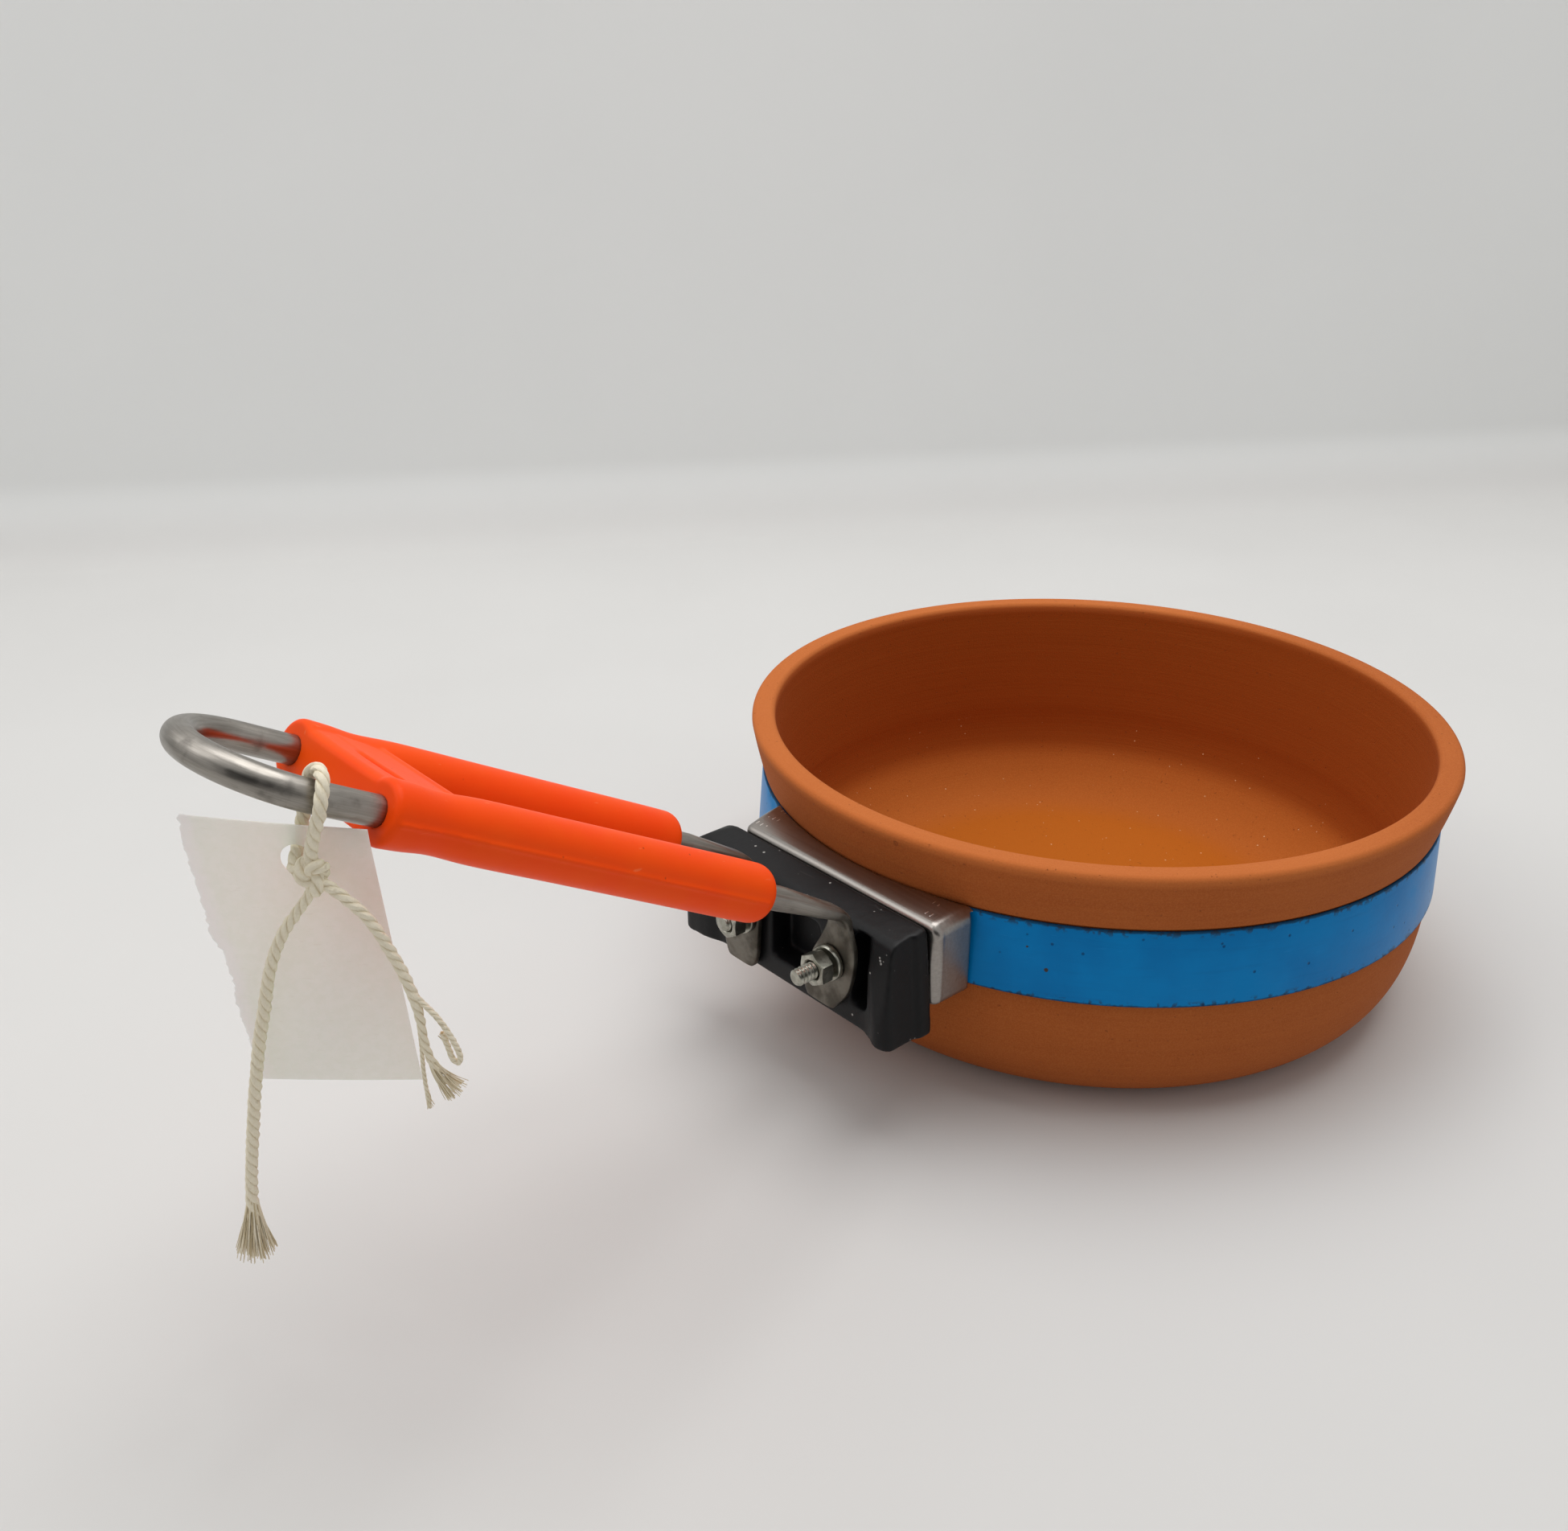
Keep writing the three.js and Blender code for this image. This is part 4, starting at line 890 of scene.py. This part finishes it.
def add_fasteners(look):
    shank, face, low, high, pitch = 1.98, 3.35, 110.8, 114.2, 1.0
    reach, angles = hexagon(7)
    corner = (reach - face) * 0.5
    even = np.ones_like(angles)
    # A spring washer stands off the nut on its near side
    spring = 0.3 * (1 - np.cos(angles))
    washer = [(108.75, 4.2 * even), (108.5, 4.05 * even), (108.5, 2.45 * even), (108.65, 2.3 * even),
              (110.25 - spring, 2.3 * even), (110.4 - spring, 2.45 * even), (110.4 - spring, 4.05 * even),
              (110.2 - spring, 4.2 * even)]
    nut = [(low + corner, reach), (low, face * even), (low, 2.6 * even), (low + 0.3, 2.3 * even),
           (high - 0.3, 2.3 * even), (high, 2.6 * even), (high, face * even), (high - corner, reach)]
    for name, (y, z, end) in BOLTS.items():
        bolt = [(89.2, 1.2 * even), (89.2, 3.3 * even), (89.22 + corner, reach), (92.0, reach),
                (92.0, shank * even), (high - 0.6, shank * even)]
        for out in np.arange(high - 0.4, end - 0.4, pitch / 12):
            wave = (out / pitch - angles / (2 * np.pi)) % 1
            depth = 0.36 * np.clip(np.abs(wave - 0.5) * 2.6 - 0.15, 0, 1)
            bolt.append((out, shank - depth * min((out - high + 0.4) / 0.3, 1)))
        bolt += [(end - 0.35, 1.82 * even), (end - 0.12, 1.7 * even), (end, 1.45 * even)]
        for kind, rows, loop in (("bolt", bolt, False), ("washer", washer, True), ("nut", nut, True)):
            skin = Skin()
            skin.add([outward_ring(out, r, angles, y, z) for out, r in rows], loop=loop)
            dress(skin.made(f"{kind}_{name}_look"), look, node=f"{kind}_{name}")


TAG_CUT = [(-17.4, -53), (9.8, -53.2), (7, -16), (6.4, -8.6), (6.2, -5.4), (-22.8, -2.8)]
TAG_TORN = [(-22.8, -2.8), (-23.2, -6.4), (-22.5, -12), (-21.6, -20), (-21.5, -24.5), (-19.6, -28.4),
            (-19, -34.2), (-19.2, -37.4), (-18.4, -42.7), (-17.4, -53)]
TAG_HOLE, TAG_HOLE_RADIUS, TAG_SHEET = np.array([-5.4, -10.4]), 2.6, 0.3


def add_tag(look):
    """A sheet of paper with a slight curl, torn down its near side."""
    outline = []
    for one, two in zip(TAG_TORN, TAG_TORN[1:]):
        shares = np.linspace(0, 1, max(int(math.dist(one, two) / 0.5), 1), endpoint=False)[:, None]
        outline.extend(np.array(one) + (np.array(two) - one) * shares)
    ragged = [point + rng.normal(0, 0.13, 2) for point in outline]
    outline = list(ragged)
    for one, two in zip(TAG_CUT, TAG_CUT[1:]):
        shares = np.linspace(0, 1, max(int(math.dist(one, two) / 1.5), 1), endpoint=False)[:, None]
        outline.extend(np.array(one) + (np.array(two) - one) * shares)
    hole = circle(TAG_HOLE_RADIUS, 40) + TAG_HOLE
    inside = [(x, z) for x in np.arange(-24, 10, 1.3) for z in np.arange(-53, -2, 1.3)]
    points = [*outline, *hole, *inside]
    edges = [(i, (i + 1) % len(outline)) for i in range(len(outline))]
    edges += [(len(outline) + i, len(outline) + (i + 1) % 40) for i in range(40)]
    verts, _, faces, *_ = delaunay_2d_cdt([Vector(p) for p in points], edges, [], 1, 1e-5)
    verts = np.array(verts)
    kept = [face for face in faces
            if np.linalg.norm(verts[list(face)].mean(axis=0) - TAG_HOLE) > TAG_HOLE_RADIUS]
    used = sorted({index for face in kept for index in face})
    renamed = {old: new for new, old in enumerate(used)}
    verts = verts[used]
    curl = (0.0011 * (verts[:, 0] + 7) ** 2 - 0.12 + 0.0003 * (verts[:, 1] + 28) ** 2
            + 0.12 * np.sin(verts[:, 1] * 0.16 + verts[:, 0] * 0.08))
    sheet = np.column_stack([verts[:, 0], curl, verts[:, 1]])
    mesh = bpy.data.meshes.new("hang_tag_look")
    mesh.from_pydata([tuple(point) for point in hung(sheet) * MM], [],
                     [[renamed[index] for index in face] for face in kept])
    torn = np.linalg.norm(verts[:, None] - np.array(ragged)[None], axis=2).min(axis=1)
    mesh.attributes.new("torn", "FLOAT", "POINT").data.foreach_set("value", torn)
    piece = shown("hang_tag_look", mesh)
    thick = piece.modifiers.new("sheet", "SOLIDIFY")
    thick.thickness = TAG_SHEET * MM * 0.8
    thick.offset = 0
    settle(piece)
    piece.data.set_sharp_from_angle(angle=math.radians(60))
    dress(piece, look, "tag", "hang_tag")


def add_stage():
    """A pale table with a curved back wall that only shows from its front."""
    look = Look("stage", {"Roughness": 0.7, "Specular IOR Level": 0.2})
    tone = look.noise(4.0, 3.0)
    floor = look.mix(look.step(tone, 0.3, 0.7), srgb(213, 212, 210), srgb(217, 216, 214))
    wall = look.mix(look.step(tone, 0.3, 0.7), srgb(237, 238, 237), srgb(240, 241, 240))
    look.colour(look.mix(look.step(look.z, 0.004, 0.03), floor, wall))
    geometry = look.add("ShaderNodeNewGeometry")
    clear = look.add("ShaderNodeBsdfTransparent")
    show = look.add("ShaderNodeMixShader", {0: geometry.outputs["Backfacing"], 1: look.shader.outputs[0],
                                            2: clear.outputs[0]})
    output = next(node for node in look.tree.nodes if node.type == "OUTPUT_MATERIAL")
    look.feed(output.inputs["Surface"], show.outputs[0])
    foot, along, away = np.array([0.241, 0.348]), np.array([0.849, -0.528]), np.array([0.528, 0.849])
    bend, tall = 0.035, 0.6
    reach = 3.0
    profile = [(-reach, 0.0), (-1.0, 0.0), (-bend, 0.0)]
    for angle in np.linspace(0, math.pi / 2, 12)[1:]:
        profile.append((-bend + bend * math.sin(angle), bend - bend * math.cos(angle)))
    profile.append((0.0, tall))
    verts = [(*(foot + along * side + away * out), up) for side in (-reach, reach) for out, up in profile]
    count = len(profile)
    mesh = bpy.data.meshes.new("table_and_wall")
    mesh.from_pydata(verts, [], [(i, i + count, i + count + 1, i + 1) for i in range(count - 1)])
    piece = shown("table_and_wall", mesh)
    if piece.data.polygons[0].normal.z < 0:
        piece.data.flip_normals()
    piece.data.materials.append(look.material)


def add_card():
    """A dark card behind the camera, which the metal mirrors and no camera sees."""
    look = Look("card", {"Roughness": 0.9})
    look.colour(look.mix(look.noise(6.0), srgb(40, 40, 42), srgb(52, 52, 54)))
    foot, along = np.array([-0.75, -0.8]), np.array([0.75, -0.66])
    verts = [(*(foot + along * side), up) for side, up in [(-0.9, 0.02), (0.9, 0.02), (0.9, 1.1), (-0.9, 1.1)]]
    mesh = bpy.data.meshes.new("card")
    mesh.from_pydata(verts, [], [(0, 1, 2, 3)])
    card = shown("card", mesh)
    card.data.materials.append(look.material)
    card.visible_camera = False
    card.visible_diffuse = False


def add_light():
    world = bpy.data.worlds.new("studio")
    scene.world = world
    world.use_nodes = True
    tree = world.node_tree
    lit = tree.nodes["Background"]
    lit.inputs["Color"].default_value = (1.0, 0.99, 0.975, 1)
    lit.inputs["Strength"].default_value = 0.4
    seen = tree.nodes.new("ShaderNodeBackground")
    seen.inputs["Color"].default_value = srgb(214, 214, 213)
    paths = tree.nodes.new("ShaderNodeLightPath")
    total = paths.outputs["Is Camera Ray"]
    for name in ("Is Glossy Ray", "Is Transmission Ray"):
        both = tree.nodes.new("ShaderNodeMath")
        both.operation = "MAXIMUM"
        tree.links.new(total, both.inputs[0])
        tree.links.new(paths.outputs[name], both.inputs[1])
        total = both.outputs[0]
    mix = tree.nodes.new("ShaderNodeMixShader")
    tree.links.new(total, mix.inputs[0])
    tree.links.new(lit.outputs[0], mix.inputs[1])
    tree.links.new(seen.outputs[0], mix.inputs[2])
    tree.links.new(mix.outputs[0], tree.nodes["World Output"].inputs["Surface"])
    for name, place, aim, size, power in [("overhead", (0.2, 0.08, 1.2), (-0.03, 0, 0.04), 1.0, 9.4),
                                          ("fill", (-0.7, 0.5, 1.0), (-0.05, 0, 0.05), 0.9, 3.5)]:
        lamp = bpy.data.lights.new(name, "AREA")
        lamp.size = size
        lamp.energy = power
        light = bpy.data.objects.new(name, lamp)
        light.location = place
        light.rotation_mode = "QUATERNION"
        light.rotation_quaternion = (Vector(aim) - Vector(place)).to_track_quat("-Z", "Y")
        scene.collection.objects.link(light)


add_camera()
add_twine(twine_look())
add_tag(paper_look())
add_bowl(clay_look())
add_band(band_look())
add_saddle(stainless_look())
dress(from_cad("heat_block", 0.36, 18), phenolic_look(), node="heat_block")
add_handle(wire_look())
add_grip(grip_look())
add_fasteners(zinc_look())
add_stage()
add_card()
add_light()
